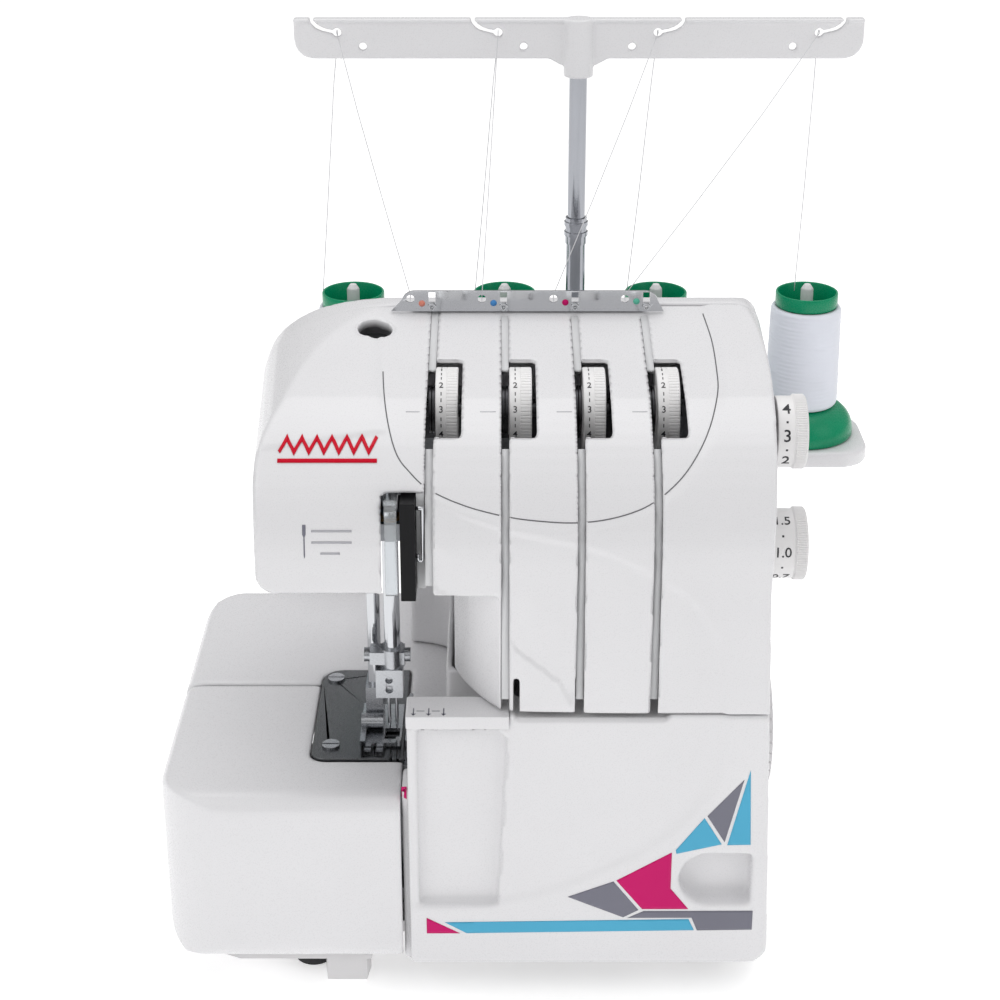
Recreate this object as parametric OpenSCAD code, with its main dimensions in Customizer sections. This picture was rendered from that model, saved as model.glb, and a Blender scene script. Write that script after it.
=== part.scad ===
// Domestic four-thread overlock machine (serger), built as an assembly.
// Machine axes: X to the right, Y towards the back from the looper cover's face, Z up from the table.
// seat() moves everything so that the origin is the bottom centre of the whole machine.

/* [Casing] */
// Height of the cloth plate above the table
deck_z = 103; // [102:0.5:104]
// Height of the joint between the looper cover and the front cover
split_z = 145.2; // [145:0.1:146]
// Underside of the head
head_z = 201; // [200.5:0.5:202]
// Top of the casing at its back edge
top_z = 285; // [284:0.5:287]
// Half angle at which the right wall flares, as mm sideways per mm of height
side_flare = 0.037; // [0.03:0.001:0.04]
// Wall of every moulded cover
wall = 3; // [2.6:0.1:3]
// Corner radius of the bed in plan
bed_corner = 30; // [26:1:32]
// Height at which the head's left shoulder begins to curve in
shoulder_z = 246; // [240:1:250]

/* [Threading] */
// Distance between neighbouring thread grooves
groove_pitch = 31.6; // [31.2:0.1:32]
// Width of a thread groove
groove_w = 3.2; // [3:0.1:4]
// Distance between neighbouring spools
spool_pitch = 77; // [76:0.1:78]
// Radius of a tension dial
dial_r = 18.6; // [18:0.1:19]
// Top of the thread antenna when it is pulled out
antenna_top = 401.5; // [398:0.5:404]
// Length of the antenna bar
antenna_len = 267; // [260:1:270]

/* [Sewing] */
// Left needle from the casing's centre line
needle_x = -48; // [-48.5:0.1:-47.5]
// Needle bar from the front face
needle_y = 50; // [49.5:0.1:50.5]
// Length of the needle plate from front to back
plate_len = 80; // [76:1:82]

/* [Drive] */
// Radius of the handwheel
handwheel_r = 32; // [28:0.5:33]
// Radius of the pulley on the main shaft
pulley_r = 24; // [22:0.5:25]
// Radius of the pulley on the motor
motor_pulley_r = 8; // [7:0.5:9]

/* [Hidden] */

$fn = 48;
eps = 0.01;
// Whole machine's centre in plan, which becomes the origin
mid_x = 19;
mid_y = 132.5;
shell_white = [0.93, 0.93, 0.95];
steel = [0.62, 0.64, 0.66];
chrome = [0.8, 0.81, 0.83];
dark_plastic = [0.09, 0.09, 0.1];
frame_grey = [0.45, 0.46, 0.48];
spool_green = [0.02, 0.5, 0.28];

// Casing limits
bed_left = -151;
head_left = -101;
head_right = -31;
front_left = head_right + groove_w;
bed_back = 200;
cover_back = 130;
arm_back = 150;
body_back = 190;
cover_bottom = 16;
bed_split_y = 100;
looper_left = -39.8;
cloth_right = -43.2;
looper_depth = 22;
stand_top = 180;
stand_bottom = 171.5;
column_x = -20;
lean_z = 200;
right_draft = 2.3;
head_draft = 4;

// Stations
function groove_x(i) = head_right + i * groove_pitch;
spool_x0 = -74.7;
spool_y = 230;
function spool_x(i) = spool_x0 + i * spool_pitch;
dial_y = 68.5;
dial_z = 257.3;
shaft_y = 120;
shaft_z = 72;
motor_y = 160;
motor_z = 56;
presser_x = -57;
presser_y = 62;
screw_x = -56;
screw_y = 108;
pole_x = 37;
pole_y = 200;
length_dial = [55, 253];
feed_dial = [55, 199.8];
hinge_y = 10;
hinge_z = 20;
plate_screws = [[-76.5, 44], [-78.6, 104]];
lifter_y = 124;
lifter_z = 208;
switch_y = 67;
switch_z = 50;

function right_x(z) = z < lean_z ? 120 - side_flare * z : 120 - side_flare * lean_z + 0.02 * (z - lean_z);
right_step = cover_back * tan(right_draft);
left_step = cover_back * tan(head_draft);
function arc_pts(c, r, a0, a1, n = 10) =
    [for (i = [0:n]) c + r * [cos(a0 + (a1 - a0) * i / n), sin(a0 + (a1 - a0) * i / n)]];
function bezier(a, b, c, d, n = 10) =
    [for (i = [0:n]) let (t = i / n, u = 1 - t)
        u * u * u * a + 3 * u * u * t * b + 3 * u * t * t * c + t * t * t * d];

// ---------- placing helpers ----------
module seat() { translate([-mid_x, -mid_y, 0]) children(); }
// A plan or elevation outline turned into a solid
module along_y(y0, y1) { translate([0, y1, 0]) rotate([90, 0, 0]) linear_extrude(y1 - y0) children(); }
module along_x(x0, x1) {
    translate([x0, 0, 0]) rotate([90, 0, 90]) linear_extrude(x1 - x0) children();
}
module rod_x(x0, x1, y, z, r) { translate([x0, y, z]) rotate([0, 90, 0]) cylinder(h = x1 - x0, r = r); }
module rod_y(y0, y1, x, z, r) { translate([x, y0, z]) rotate([-90, 0, 0]) cylinder(h = y1 - y0, r = r); }
module rod_z(z0, z1, x, y, r) { translate([x, y, z0]) cylinder(h = z1 - z0, r = r); }
module block(a, b) { translate(a) cube(b - a); }

// ---------- casing outlines ----------
// Side profile of the upper casing, t is the inset of its inside
module upper_profile(z0, t = 0) {
    polygon(concat([[t, z0]], [[t + 0.3, 160]], front_curve(t),
        [[cover_back + eps, top_z - t], [cover_back + eps, z0]]));
}
// Side profile of the rear casing
module rear_profile(t = 0) {
    back = arm_back - t;
    low = body_back - t;
    polygon(concat([[cover_back, cover_bottom - (t > 0 ? 1 : 0)], [cover_back, top_z - t]],
        arc_pts([back - 14, top_z - 14 - t], 14, 80, 0, 6),
        [[back, stand_bottom - t]],
        arc_pts([low - 6, stand_bottom - 6 - t], 6, 90, 0, 4),
        [[low, cover_bottom - (t > 0 ? 1 : 0)]]));
}
// The head's soft shoulder, from its left wall up to the roof
function shoulder(left, t) =
    bezier([left + t, shoulder_z], [left + t, top_z - t], [-36, top_z - t], [-34, top_z - t], 14);
// Front elevation of the head's left part
module head_outline(t = 0) {
    foot = 8;
    polygon(concat([[10, head_z + t]],
        arc_pts([head_left + foot + t / 2, head_z + foot], foot - t / 2, 270, 180, 5),
        shoulder(head_left, t), [[10, top_z - t]]));
}
// The upper casing widens towards the back: its walls turn about their front edges
module drafted(x, angle) {
    translate([x, 0, 0]) rotate([0, 0, angle]) translate([-x, 0, 0]) along_y(-2, cover_back + 20) children();
}
// Front elevation right of the first groove, from z0 up
module front_outline(x0, z0, t = 0) {
    r = 12;
    polygon(concat([[x0, z0], [right_x(z0) - t, z0]],
        z0 < lean_z - 1 ? [[right_x(lean_z) - t, lean_z]] : [],
        arc_pts([right_x(top_z) - r, top_z - r], r - t, 0, 90, 6),
        [[x0, top_z - t]]));
}
// Plan of the column under the head: the left wall sweeps round to the back
module column_plan(t = 0) {
    polygon(concat([[140, -1], [4 + t * 1.6, -1]],
        bezier([4 + t * 1.6, 0], [-6 + t, 10 + t], [-16 + t, 24 + t], [column_x + t, 40 + t], 8),
        bezier([column_x + t, 112], [column_x + t, 135], [-30, 138 + t], [-44 + t, 140 + t], 6),
        [[-44 + t, 260], [140, 260]]));
}
// Plan of the bed with its rounded left corners
module bed_plan(y0, y1, x1, t = 0) {
    left = bed_left + t;
    r = bed_corner - t;
    intersection() {
        polygon(concat(arc_pts([left + r, t + r], r, 180, 270, 8), [[x1, t]],
            [[x1, bed_back - t]], arc_pts([left + r, bed_back - t - r], r, 90, 180, 8)));
        translate([bed_left - 1, y0]) square([400, y1 - y0]);
    }
}
// Inside of an edge that turns under: an arc, then straight down through the opening
function lip_pts(c, r) =
    let (a = arc_pts(c, r, 235, 180, 5)) concat([[a[0][0], cover_bottom - 2]], a);
function mirror_pts(pts, m) = [for (k = [len(pts) - 1:-1:0]) [2 * m - pts[k][0], pts[k][1]]];
// Front elevation of the bed: soft upper and lower edges
module bed_elevation(x1, t = 0) {
    left = bed_left + t;
    upper = 8;
    lower = 12;
    c = [bed_left + lower, cover_bottom + lower];
    polygon(concat([[x1, cover_bottom - (t > 0 ? 2 : 0)]],
        t > 0 ? lip_pts(c, lower - t) : arc_pts(c, lower, 270, 180, 6),
        arc_pts([left + upper, deck_z - upper - t], upper, 180, 90, 6), [[x1, deck_z - t]]));
}
// Side elevation of the bed, the same edges at front and back
module bed_side(t = 0) {
    upper = 8;
    lower = 12;
    z = cover_bottom + lower;
    polygon(concat(
        t > 0 ? lip_pts([lower, z], lower - t) : arc_pts([lower, z], lower, 270, 180, 6),
        arc_pts([upper + t, deck_z - upper - t], upper, 180, 90, 6),
        arc_pts([bed_back - upper - t, deck_z - upper - t], upper, 90, 0, 6),
        t > 0 ? mirror_pts(lip_pts([lower, z], lower - t), bed_back / 2)
              : arc_pts([bed_back - lower, z], lower, 0, -90, 6)));
}
module bed_solid(y0, y1, x1, t = 0) {
    intersection() {
        translate([0, 0, cover_bottom - 4]) linear_extrude(deck_z) bed_plan(y0, y1, x1, t);
        along_y(y0 - 1, y1 + 1) bed_elevation(x1, t);
        along_x(bed_left - 1, x1 + 1) bed_side(t);
    }
}

// ---------- base ----------
tray_z = 12;
tray_t = 6;
foot_spots = [[-86, 30], [-132, 168], [98, 40], [98, 172]];
module base_tray() color(shell_white) seat() difference() {
    union() {
        translate([0, 0, tray_z]) linear_extrude(tray_t) polygon(concat([[-58, 10]],
            [[-118, 10]], arc_pts([-116.6, 38], 26, 250, 180, 4), arc_pts([-116.6, 158], 26, 180, 90, 4),
            [[110, 184], [112, 30], [-58, 30]]));
        // Wedge foot under the bed's front
        translate([-69.5, 10, 0.6]) linear_extrude(tray_z - 0.6 + eps)
            polygon([[-9, 0], [9, 0], [10.4, 9], [-10.4, 9]]);
        for (x = [-12, 75]) {
            block([x, 24, tray_z + tray_t - eps], [x + 4, 34, tray_z + tray_t + 6]);
            rod_lug(x);
        }
    }
    for (p = foot_spots) rod_z(tray_z - 1, tray_z + 4, p[0], p[1], 4.02);
    rod_x(-13, 80, hinge_y, hinge_z, 2.05);
}
// Fixed lug that carries the looper cover's hinge rod
module rod_lug(x) {
    rod_x(x, x + 4, hinge_y, hinge_z, 4.5);
    block([x, hinge_y, hinge_z - 4.5], [x + 4, 31, hinge_z + 3]);
}
module rubber_feet() color(dark_plastic) seat()
    for (p = foot_spots) translate([p[0], p[1], 0]) {
        cylinder(h = tray_z, r1 = 9, r2 = 10);
        cylinder(h = tray_z + 3.8, r = 4);
    }

// ---------- inner frame ----------
slab_top = 26;
wall_a = -12;
wall_b = 94;
module main_frame() color(frame_grey) seat() difference() {
    union() {
        block([-86, 44, tray_z + tray_t], [100, 182, slab_top]);
        block([wall_a, 60, slab_top - eps], [wall_a + 8, 140, 216]);
        block([wall_b, 66, slab_top - eps], [wall_b + 7, 134, 216]);
        // Arm beam and the two brackets that guide the needle and presser bars
        block([-92, 100, 215], [wall_b + 7, 116, 250]);
        for (z = [207, 229]) block([-64, 42, z], [-41, 100 + eps, z + 8]);
        block([-64, 92, 207], [-41, 100 + eps, 237]);
        // Needle plate supports
        block([-82.5, 37, slab_top - eps], [-73, 109, 100.6]);
        block([-78, 104, 88], [-44, 112, 100.6]);
        // Post of the fixed knife
        block([-50, 62, slab_top - eps], [-42, 66, 92]);
        // Ear and pin of the presser lifter
        block([-68, 112, 204.6], [-64, 129, 215 + eps]);
        rod_x(-68, -50, lifter_y, lifter_z, 2);
        // Looper shaft plate with its two pins
        block([-38, 60, slab_top - eps], [wall_a + eps, 66, 84]);
        block([wall_a + 8 - eps, 60, slab_top - eps], [24, 66, 84]);
        rod_y(36, 60 + eps, -24, 52, 3);
        rod_y(24, 60 + eps, 8, 60, 3);
        // Motor cradle
        block([58, 150, slab_top - eps], [66, 170, 33]);
        block([82, 150, slab_top - eps], [90, 170, 33]);
    }
    rod_x(wall_a - 1, wall_b + 8, shaft_y, shaft_z, 8.02);
    rod_z(200, 240, needle_x, needle_y, 6.02);
    rod_z(200, 240, presser_x, presser_y, 5.52);
    for (p = plate_screws) rod_z(96, 101, p[0], p[1], 2.03);
    rod_z(214, 251, screw_x, screw_y, 3.05);
    rod_x(50, 95, motor_y, motor_z, 24.1);
}
module bushes() color([0.72, 0.55, 0.3]) seat() {
    for (x = [wall_a, wall_b]) difference() {
        rod_x(x, x + 7, shaft_y, shaft_z, 8);
        rod_x(x - 1, x + 9, shaft_y, shaft_z, 5.05);
    }
    for (z = [207, 229]) {
        difference() {
            rod_z(z, z + 8, needle_x, needle_y, 6);
            rod_z(z - 1, z + 9, needle_x, needle_y, 3.65);
        }
        difference() {
            rod_z(z, z + 8, presser_x, presser_y, 5.5);
            rod_z(z - 1, z + 9, presser_x, presser_y, 3.05);
        }
    }
}

// ---------- upper covers ----------
panel_z = 200;
module upper_shell(t) {
    intersection() {
        along_x(-130, 140) upper_profile(split_z - (t > 0 ? 1 : 0), t);
        children();
    }
}
// A window over dial i, cut square to the sloping front
window_w = 11.6;
window_len = 53.3;
module dial_window(i) {
    x = groove_x(i) + groove_w - 0.1;
    translate([0, 29.5, 262]) rotate([16.5, 0, 0]) block([x, 0, -14], [x + window_w, window_len, 14]);
}
module front_cover() color(shell_white) seat() difference() {
    union() {
        upper_shell(0) intersection() {
            drafted(115, -right_draft) front_outline(-60, panel_z);
            block([front_left, -1, panel_z], [140, cover_back, top_z + 1]);
        }
        upper_shell(0) intersection() {
            drafted(115, -right_draft) front_outline(-60, split_z);
            translate([0, 0, split_z]) linear_extrude(panel_z + 2 - split_z) column_plan();
            block([-30, -1, split_z], [140, cover_back, top_z]);
        }
    }
    // Hollow above the panel's floor, closed on the left only beside the groove
    upper_shell(wall) intersection() {
        drafted(115, -right_draft) front_outline(-60, panel_z + wall, wall);
        union() {
            block([front_left + wall, 0, panel_z], [140, cover_back + 1, top_z]);
            block([front_left - 1, 25, panel_z], [140, cover_back + 1, top_z]);
        }
    }
    upper_shell(wall) intersection() {
        drafted(115, -right_draft) front_outline(-60, split_z - 1, wall);
        translate([0, 0, split_z - 1]) linear_extrude(panel_z + 6 - split_z) column_plan(wall);
        block([-30, 0, split_z - 2], [140, cover_back + 1, top_z]);
    }
    for (i = [1:3]) block([groove_x(i), -5, split_z - 1], [groove_x(i) + groove_w, 121, top_z + 5]);
    for (i = [0:3]) dial_window(i);
    rod_x(100, 130, length_dial[0], length_dial[1], 4.3);
    rod_x(100, 130, feed_dial[0], feed_dial[1], 4.3);
}
// Grey channel floors that close the grooves behind the cover, below and above the dials
function front_curve(t) = bezier([3 + t, 215], [5 + t, 245 - t / 3], [22 + t / 2, 262 - t], [50, 271 - t], 12);
function roof_z(y, t) = 271 - t + (y - 50) * (top_z - 271) / (cover_back - 50);
channel_gap = 0.2;
channel_t = 2;
channel_last = 8;
module lower_channel(z0) {
    outer = front_curve(wall + channel_gap);
    inner = front_curve(wall + channel_gap + channel_t);
    skip = wall + channel_gap;
    y0 = skip + 0.3 + max(0, z0 - 160) * 2.7 / 55;
    polygon(concat([[y0, z0]], [for (k = [0:channel_last]) outer[k]],
        [for (k = [channel_last:-1:0]) inner[k]], [[y0 + channel_t, z0]]));
}
module upper_channel(y1) {
    y0 = 74;
    skip = 1.3;
    polygon([[y0, roof_z(y0, skip)], [y1, roof_z(y1, skip)], [y1, roof_z(y1, skip + channel_t)],
        [y0, roof_z(y0, skip + channel_t)]]);
}
module thread_channels() color([0.78, 0.78, 0.8]) seat() for (i = [0:3]) {
    along_x(groove_x(i) + 0.05, groove_x(i) + groove_w - 0.05) lower_channel(i == 0 ? 204 : split_z + 6);
    along_x(groove_x(i) + 0.05, groove_x(i) + groove_w - 0.05) upper_channel(i == 0 ? cover_back - 0.3 : 120.8);
}
module face_cover() color(shell_white) seat() difference() {
    intersection() {
        along_x(-130, head_right) upper_profile(head_z - 2, 0);
        drafted(head_left, head_draft) head_outline();
        block([-130, -1, 190], [0, cover_back, 300]);
    }
    intersection() {
        along_x(-130, head_right + 1) upper_profile(head_z - 1, wall);
        drafted(head_left, head_draft) head_outline(wall);
    }
    // Way out for the needle and presser bars, and the threading slot in the front
    block([-66, 8, head_z - 1], [head_right + 1, cover_back + 1, head_z + wall + 1]);
    block([-49, -5, head_z - 1], [head_right + 1, 30, 243]);
    rod_z(265, 300, screw_x, screw_y, 8);
    block([-90.1, 33.9, head_z - 1], [-75.9, 50.1, head_z + wall + 1]);
}
module rear_outline(t = 0) {
    // Everything above the head's underside
    left = head_left - left_step;
    right = right_x(top_z) + right_step;
    polygon(concat([[left + t, head_z + t]], shoulder(left, t),
        arc_pts([right - 12, top_z - 12], 12 - t, 90, 0, 6),
        [[right_x(head_z) + right_step - t, head_z + t]]));
}
module rear_body(t) {
    low = cover_bottom - (t > 0 ? 1 : 0);
    intersection() {
        along_x(-130, 140) rear_profile(t);
        union() {
            along_y(cover_back - 1, body_back + 1) rear_outline(t);
            intersection() {
                along_y(cover_back - 1, body_back + 1) polygon([[-44, low], [right_x(low) - t, low],
                    [right_x(split_z) - t, split_z + t], [right_x(split_z) + right_step - t, split_z + t],
                    [right_x(head_z + 5) + right_step - t, head_z + 5], [-44, head_z + 5]]);
                translate([0, 0, low]) linear_extrude(head_z + 6 - low) column_plan(t);
            }
        }
    }
}
module rear_cover() color(shell_white) seat() difference() {
    rear_body(0);
    rear_body(wall);
    // Slot for the presser lifter, and the part that the bed cover takes up
    block([-67, cover_back - 1, head_z - 1], [-47, arm_back - wall, head_z + wall + 1]);
    block([-60, cover_back - 1, 0], [-23.6, body_back + 1, deck_z + 0.2]);
    block([-26, cover_back - 1, 0], [-12, body_back - wall, slab_top + 0.5]);
    block([14, body_back - 4, 44], [41, body_back + 1, 66]);
    for (x = [-10, pole_x, 90]) rod_z(stand_bottom - 5, stand_bottom + 1, x, 176, 2);
    for (x = [-80, 60]) rod_y(arm_back - 5, arm_back + 1, x, 232, 3.02);
}
module side_cover() color(shell_white) seat() difference() {
    along_y(looper_depth + 0.6, cover_back - 0.3) polygon([
        [right_x(cover_bottom), cover_bottom], [right_x(split_z), split_z - 0.2],
        [right_x(split_z) - wall, split_z - 0.2], [right_x(cover_bottom) - wall, cover_bottom]]);
    rod_x(100, 130, shaft_y, shaft_z, 5.4);
    block([100, switch_y - 6.3, switch_z - 4.4], [130, switch_y + 6.3, switch_z + 4.4]);
}

// ---------- bed ----------
plate_x0 = -85;
plate_x1 = -43.4;
plate_y0 = 33;
module plate_plan(x1, gap = 0) {
    front_r = 6;
    back_r = 10;
    polygon(concat([[x1, plate_y0 - gap]],
        arc_pts([plate_x0 + front_r, plate_y0 + front_r], front_r + gap, 270, 180, 6),
        arc_pts([plate_x0 + back_r, plate_y0 + plate_len - back_r], back_r + gap, 180, 90, 6),
        [[x1, plate_y0 + plate_len + gap]]));
}
module plate_notch(x1) { translate([0, 0, deck_z - 6]) linear_extrude(8) plate_plan(x1, 0.3); }
// Vertical hinge of the cloth plate at the left end of the seam
pin_x = -147.5;
pin_y = 96.4;
knuckle_r = 3.3;
module fixed_knuckles() for (z = [34, 80]) {
    rod_z(z, z + 10, pin_x, pin_y, knuckle_r);
    block([pin_x - 2.6, pin_y, z], [pin_x + 2, bed_split_y + 4.6, z + 10]);
}
module bed_cover() color(shell_white) seat() difference() {
    union() {
        difference() {
            union() {
                bed_solid(bed_split_y + 0.2, bed_back + 1, -24);
                block([plate_x1, 70, deck_z - wall], [-24 + eps, bed_split_y + 1, deck_z]);
            }
            bed_solid(bed_split_y - 1, bed_back + 1, -25, wall);
            plate_notch(plate_x1 + 0.3);
            rod_z(0, deck_z - 1.5, pin_x, pin_y, 5.1);
            block([-26, bed_split_y, 0], [-23, bed_back + 1, slab_top + 0.5]);
        }
        fixed_knuckles();
        // Wall between the bed and the column, up to the front cover's lower edge
        block([-24 - eps, 40, deck_z - wall], [-21, cover_back - 0.3, split_z - 0.4]);
        block([-24, 40, deck_z - wall], [6, 43, split_z - 0.4]);
    }
    rod_z(20, 100, pin_x, pin_y, 1.52);
}
module hinge_pin() color(steel) seat() rod_z(31, 93, pin_x, pin_y, 1.5);
module cloth_plate() color(shell_white) seat() difference() {
    union() {
        difference() {
            bed_solid(-2, bed_split_y - 0.2, cloth_right);
            bed_solid(-2, bed_split_y + 1, cloth_right + 1, wall);
            plate_notch(plate_x1 + 3);
        }
        rod_z(45, 79, pin_x, pin_y, knuckle_r);
    }
    for (z = [33.7, 79.4]) block([bed_left - 1, pin_y - 4.2, z], [pin_x + 4.2, bed_split_y, z + 11]);
    rod_z(20, 100, pin_x, pin_y, 1.55);
}
module slot_y(x0, x1, y0, y1) { block([x0, y0, deck_z - 5], [x1, y1, deck_z + 5]); }
module needle_plate() color(steel) seat() difference() {
    translate([0, 0, deck_z - 2.4]) linear_extrude(2.6) plate_plan(plate_x1);
    slot_y(-62, -57.5, 34.5, 78);
    slot_y(-56.5, -52, 34.5, 78);
    slot_y(-51.6, -45, 47.6, 52.4);
    slot_y(-49.4, -48.4, plate_y0 - 1, 44);
    slot_y(-46.4, -45.4, plate_y0 - 1, 44);
    for (p = plate_screws) rod_z(deck_z - 5, deck_z + 1, p[0], p[1], 2.1);
}
module screw_down(x, y, z, r) {
    difference() {
        union() {
            rod_z(z, z + 1.2, x, y, r);
            rod_z(z - 5, z + eps, x, y, r / 2);
        }
        block([x - r, y - 0.4, z + 0.5], [x + r, y + 0.4, z + 2]);
    }
}
module machine_screws() color(steel) seat() {
    for (p = plate_screws) screw_down(p[0], p[1], deck_z + 0.2, 4);
    for (x = [-10, pole_x, 90]) screw_down(x, 176, stand_bottom + 4, 3.8);
    for (x = [-80, 60]) difference() {
        rod_y(arm_back - 4, arm_back + 1, x, 232, 3);
        block([x - 4, arm_back + 0.4, 231.6], [x + 4, arm_back + 2, 232.4]);
    }
}
module lower_knife() color(steel) seat() {
    block([-43.2, 49, 86], [-41.6, 57, deck_z]);
    block([-50, 58.5, 84], [-41.6, 62, 92]);
    block([-43.2, 56.9, 84], [-41.6, 62, 92]);
}

// ---------- thread path ----------
guide_y = 122;
guide_z = 284.75;
guide_slot_x = -30.8;
guide_pitch = 32.4;
module guide_plate() color(chrome) seat() difference() {
    union() {
        along_y(guide_y, guide_y + 1.2) polygon(concat([[-49.4, guide_z - 0.9], [74.3, guide_z - 0.9]],
            arc_pts([66, guide_z + 3.2], 5.6, 10, 90, 5), arc_pts([-38.6, guide_z + 2.4], 6.4, 90, 160, 5)));
        block([-40, guide_y, guide_z], [66, 128, guide_z + 1.2]);
        for (i = [0:3]) rod_y(guide_y - 1.4, guide_y + eps, guide_slot_x + i * guide_pitch, guide_z + 1.4, 1.9);
    }
    for (i = [0:3]) {
        x = guide_slot_x + i * guide_pitch;
        rod_y(guide_y - 1, guide_y + 2, x - 9.8, guide_z + 5, 1.9);
        rod_y(guide_y - 2, guide_y + 2, x, guide_z + 1.4, 0.8);
        block([x - 1.6, guide_y - 1, guide_z + 3.3], [x + 1.6, guide_y + 2, guide_z + 8.2]);
    }
}
module tension_bracket() color(steel) seat() {
    block([-38, 97, 232], [78, 99.8, 250]);
    for (i = [0:3]) difference() {
        block([groove_x(i) - 5, 62, 236], [groove_x(i) - 3, 97 + eps, 264]);
        rod_x(groove_x(i) - 6, groove_x(i), dial_y, dial_z, 3);
    }
}
module tension_discs() color(chrome) seat() for (i = [0:3]) {
    rod_x(groove_x(i) - 5, groove_x(i) + 15, dial_y, dial_z, 2.98);
    for (s = [0.3, 1.8]) difference() {
        rod_x(groove_x(i) + s, groove_x(i) + s + 1.1, dial_y, dial_z, 10);
        rod_x(groove_x(i), groove_x(i) + 4, dial_y, dial_z, 2.98);
    }
}
module tension_dial(i) color(shell_white) seat() difference() {
    union() {
        rod_x(groove_x(i) + 3.4, groove_x(i) + 13, dial_y, dial_z, dial_r);
        rod_x(groove_x(i) + 3.1, groove_x(i) + 14, dial_y, dial_z, dial_r - 8);
    }
    rod_x(groove_x(i) + 3, groove_x(i) + 16, dial_y, dial_z, 3.03);
    rod_x(groove_x(i) + 8, groove_x(i) + 16, dial_y, dial_z, dial_r - 10);
}
module needle_guard() color([0.8, 0.85, 0.88, 0.5]) seat() {
    block([-47.6, 6, 199], [-42.6, 8, 242]);
    block([-47.6, 8 - eps, 237], [-42.6, 41.9, 240]);
    block([-47.6, 38, 231], [-42.6, 41.9, 237 + eps]);
}
module take_up_cover() color(dark_plastic) seat() {
    block([-41.2, 5, 197], [-35, 26, 241.5]);
    block([-40, 26 - eps, 224], [-36, 99.9, 232]);
}
module wire_hook() color(chrome) seat() {
    rod_z(215, 238, -32, 9, 0.7);
    translate([-33, 9, 215]) rotate([-90, 0, 0])
        rotate_extrude(angle = 180, $fn = 32) translate([1, 0]) circle(r = 0.7, $fn = 16);
    rod_z(215 - eps, 217, -34, 9, 0.7);
    rod_x(-34.9, -31.4, 9, 238, 0.8);
}

// ---------- spools and antenna ----------
module stand_plan(t = 0) {
    front_r = 16 - t;
    back_r = 30 - t;
    for (x = [-94.5, 173]) translate([x, 215]) circle(r = front_r);
    for (x = [-80.5, 159]) translate([x, 236.5]) circle(r = back_r);
    translate([-94.5, 199 + t]) square([267.5, 37.5 - t]);
    translate([-110.5 + t, 215]) square([299.5 - 2 * t, 21.5]);
    translate([-80.5, 215]) square([239.5, 51.5 - t]);
    translate([-30 + t, arm_back + 1 + t]) square([130 - 2 * t, 60]);
}
module spool_stand() color(shell_white) seat() difference() {
    translate([0, 0, stand_bottom]) linear_extrude(stand_top - stand_bottom) stand_plan();
    difference() {
        translate([0, 0, stand_bottom - 1]) linear_extrude(stand_top - stand_bottom - 2.5) stand_plan(2.8);
        for (x = [-10, pole_x, 90]) rod_z(stand_bottom - 2, stand_top, x, 176, 6);
        rod_z(stand_bottom - 2, stand_top, pole_x, pole_y, 8);
        for (i = [0:3]) rod_z(stand_bottom - 2, stand_top, spool_x(i), spool_y, 5);
    }
    for (x = [-10, pole_x, 90]) {
        rod_z(stand_bottom + 4, stand_top + 1, x, 176, 4.4);
        rod_z(stand_bottom - 2, stand_top, x, 176, 2);
    }
    rod_z(stand_bottom + 2, stand_top + 1, pole_x, pole_y, 4.73);
    for (i = [0:3]) rod_z(stand_bottom + 2, stand_top + 1, spool_x(i), spool_y, 3.23);
}
module spool_pins() color(shell_white) seat() for (i = [0:3]) {
    rod_z(stand_bottom + 2, 258, spool_x(i), spool_y, 3.2);
    translate([spool_x(i), spool_y, 258 - eps]) cylinder(h = 2.5, r1 = 3.2, r2 = 1.6);
}
module antenna_lower_tube() color(chrome) seat() difference() {
    union() {
        rod_z(stand_bottom + 2, 292, pole_x, pole_y, 4.7);
        rod_z(292 - eps, 305, pole_x, pole_y, 5.2);
        rod_z(296, 298, pole_x, pole_y, 5.8);
        rod_z(301, 303, pole_x, pole_y, 5.8);
    }
    rod_z(stand_bottom + 4, 306, pole_x, pole_y, 4.25);
}
module antenna_upper_tube() color(chrome) seat() difference() {
    rod_z(288, 396, pole_x, pole_y, 4.2);
    rod_z(287, 394, pole_x, pole_y, 3.2);
}
hole_z = antenna_top - 6.6;
// Curved thread slot that runs down from the top edge into a hole
module thread_slot(x, side) {
    a = [x - side * 12.4, antenna_top + 1];
    mid = bezier(a, a + [side * 1, -6], [x - side * 6, hole_z + 1], [x, hole_z], 6);
    polygon(concat([for (p = mid) p + [side * 0.7, 0.7]], [for (k = [6:-1:0]) mid[k] - [side * 0.7, 0.7]]));
}
module antenna_bar() color(shell_white) seat() difference() {
    union() {
        half = antenna_len / 2;
        along_y(pole_y - 1.8, pole_y + 1.8) translate([pole_x, 0]) polygon(concat(
            arc_pts([-half + 9, antenna_top - 9.8], 9, 180, 270, 5), [[-14, antenna_top - 18.8]],
            [[-8, antenna_top - 22], [8, antenna_top - 22]], [[14, antenna_top - 18.8]],
            arc_pts([half - 9, antenna_top - 9.8], 9, 270, 360, 5),
            [[half, antenna_top], [-half, antenna_top]]));
        block([pole_x - half, pole_y - 3.4, antenna_top - 1.6], [pole_x + half, pole_y + 3.4, antenna_top]);
        rod_z(374, antenna_top, pole_x, pole_y, 7);
    }
    rod_z(373, 396, pole_x, pole_y, 4.2);
    for (k = [[-76.4, 1], [-0.9, 1], [74, -1], [149.5, -1]]) {
        rod_y(pole_y - 4, pole_y + 4, k[0], hole_z, 2.1);
        along_y(pole_y - 4, pole_y + 4) thread_slot(k[0], k[1]);
        rod_y(pole_y - 4, pole_y + 4, k[0] + k[1] * 12, hole_z - 6.6, 1.9);
    }
}
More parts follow.
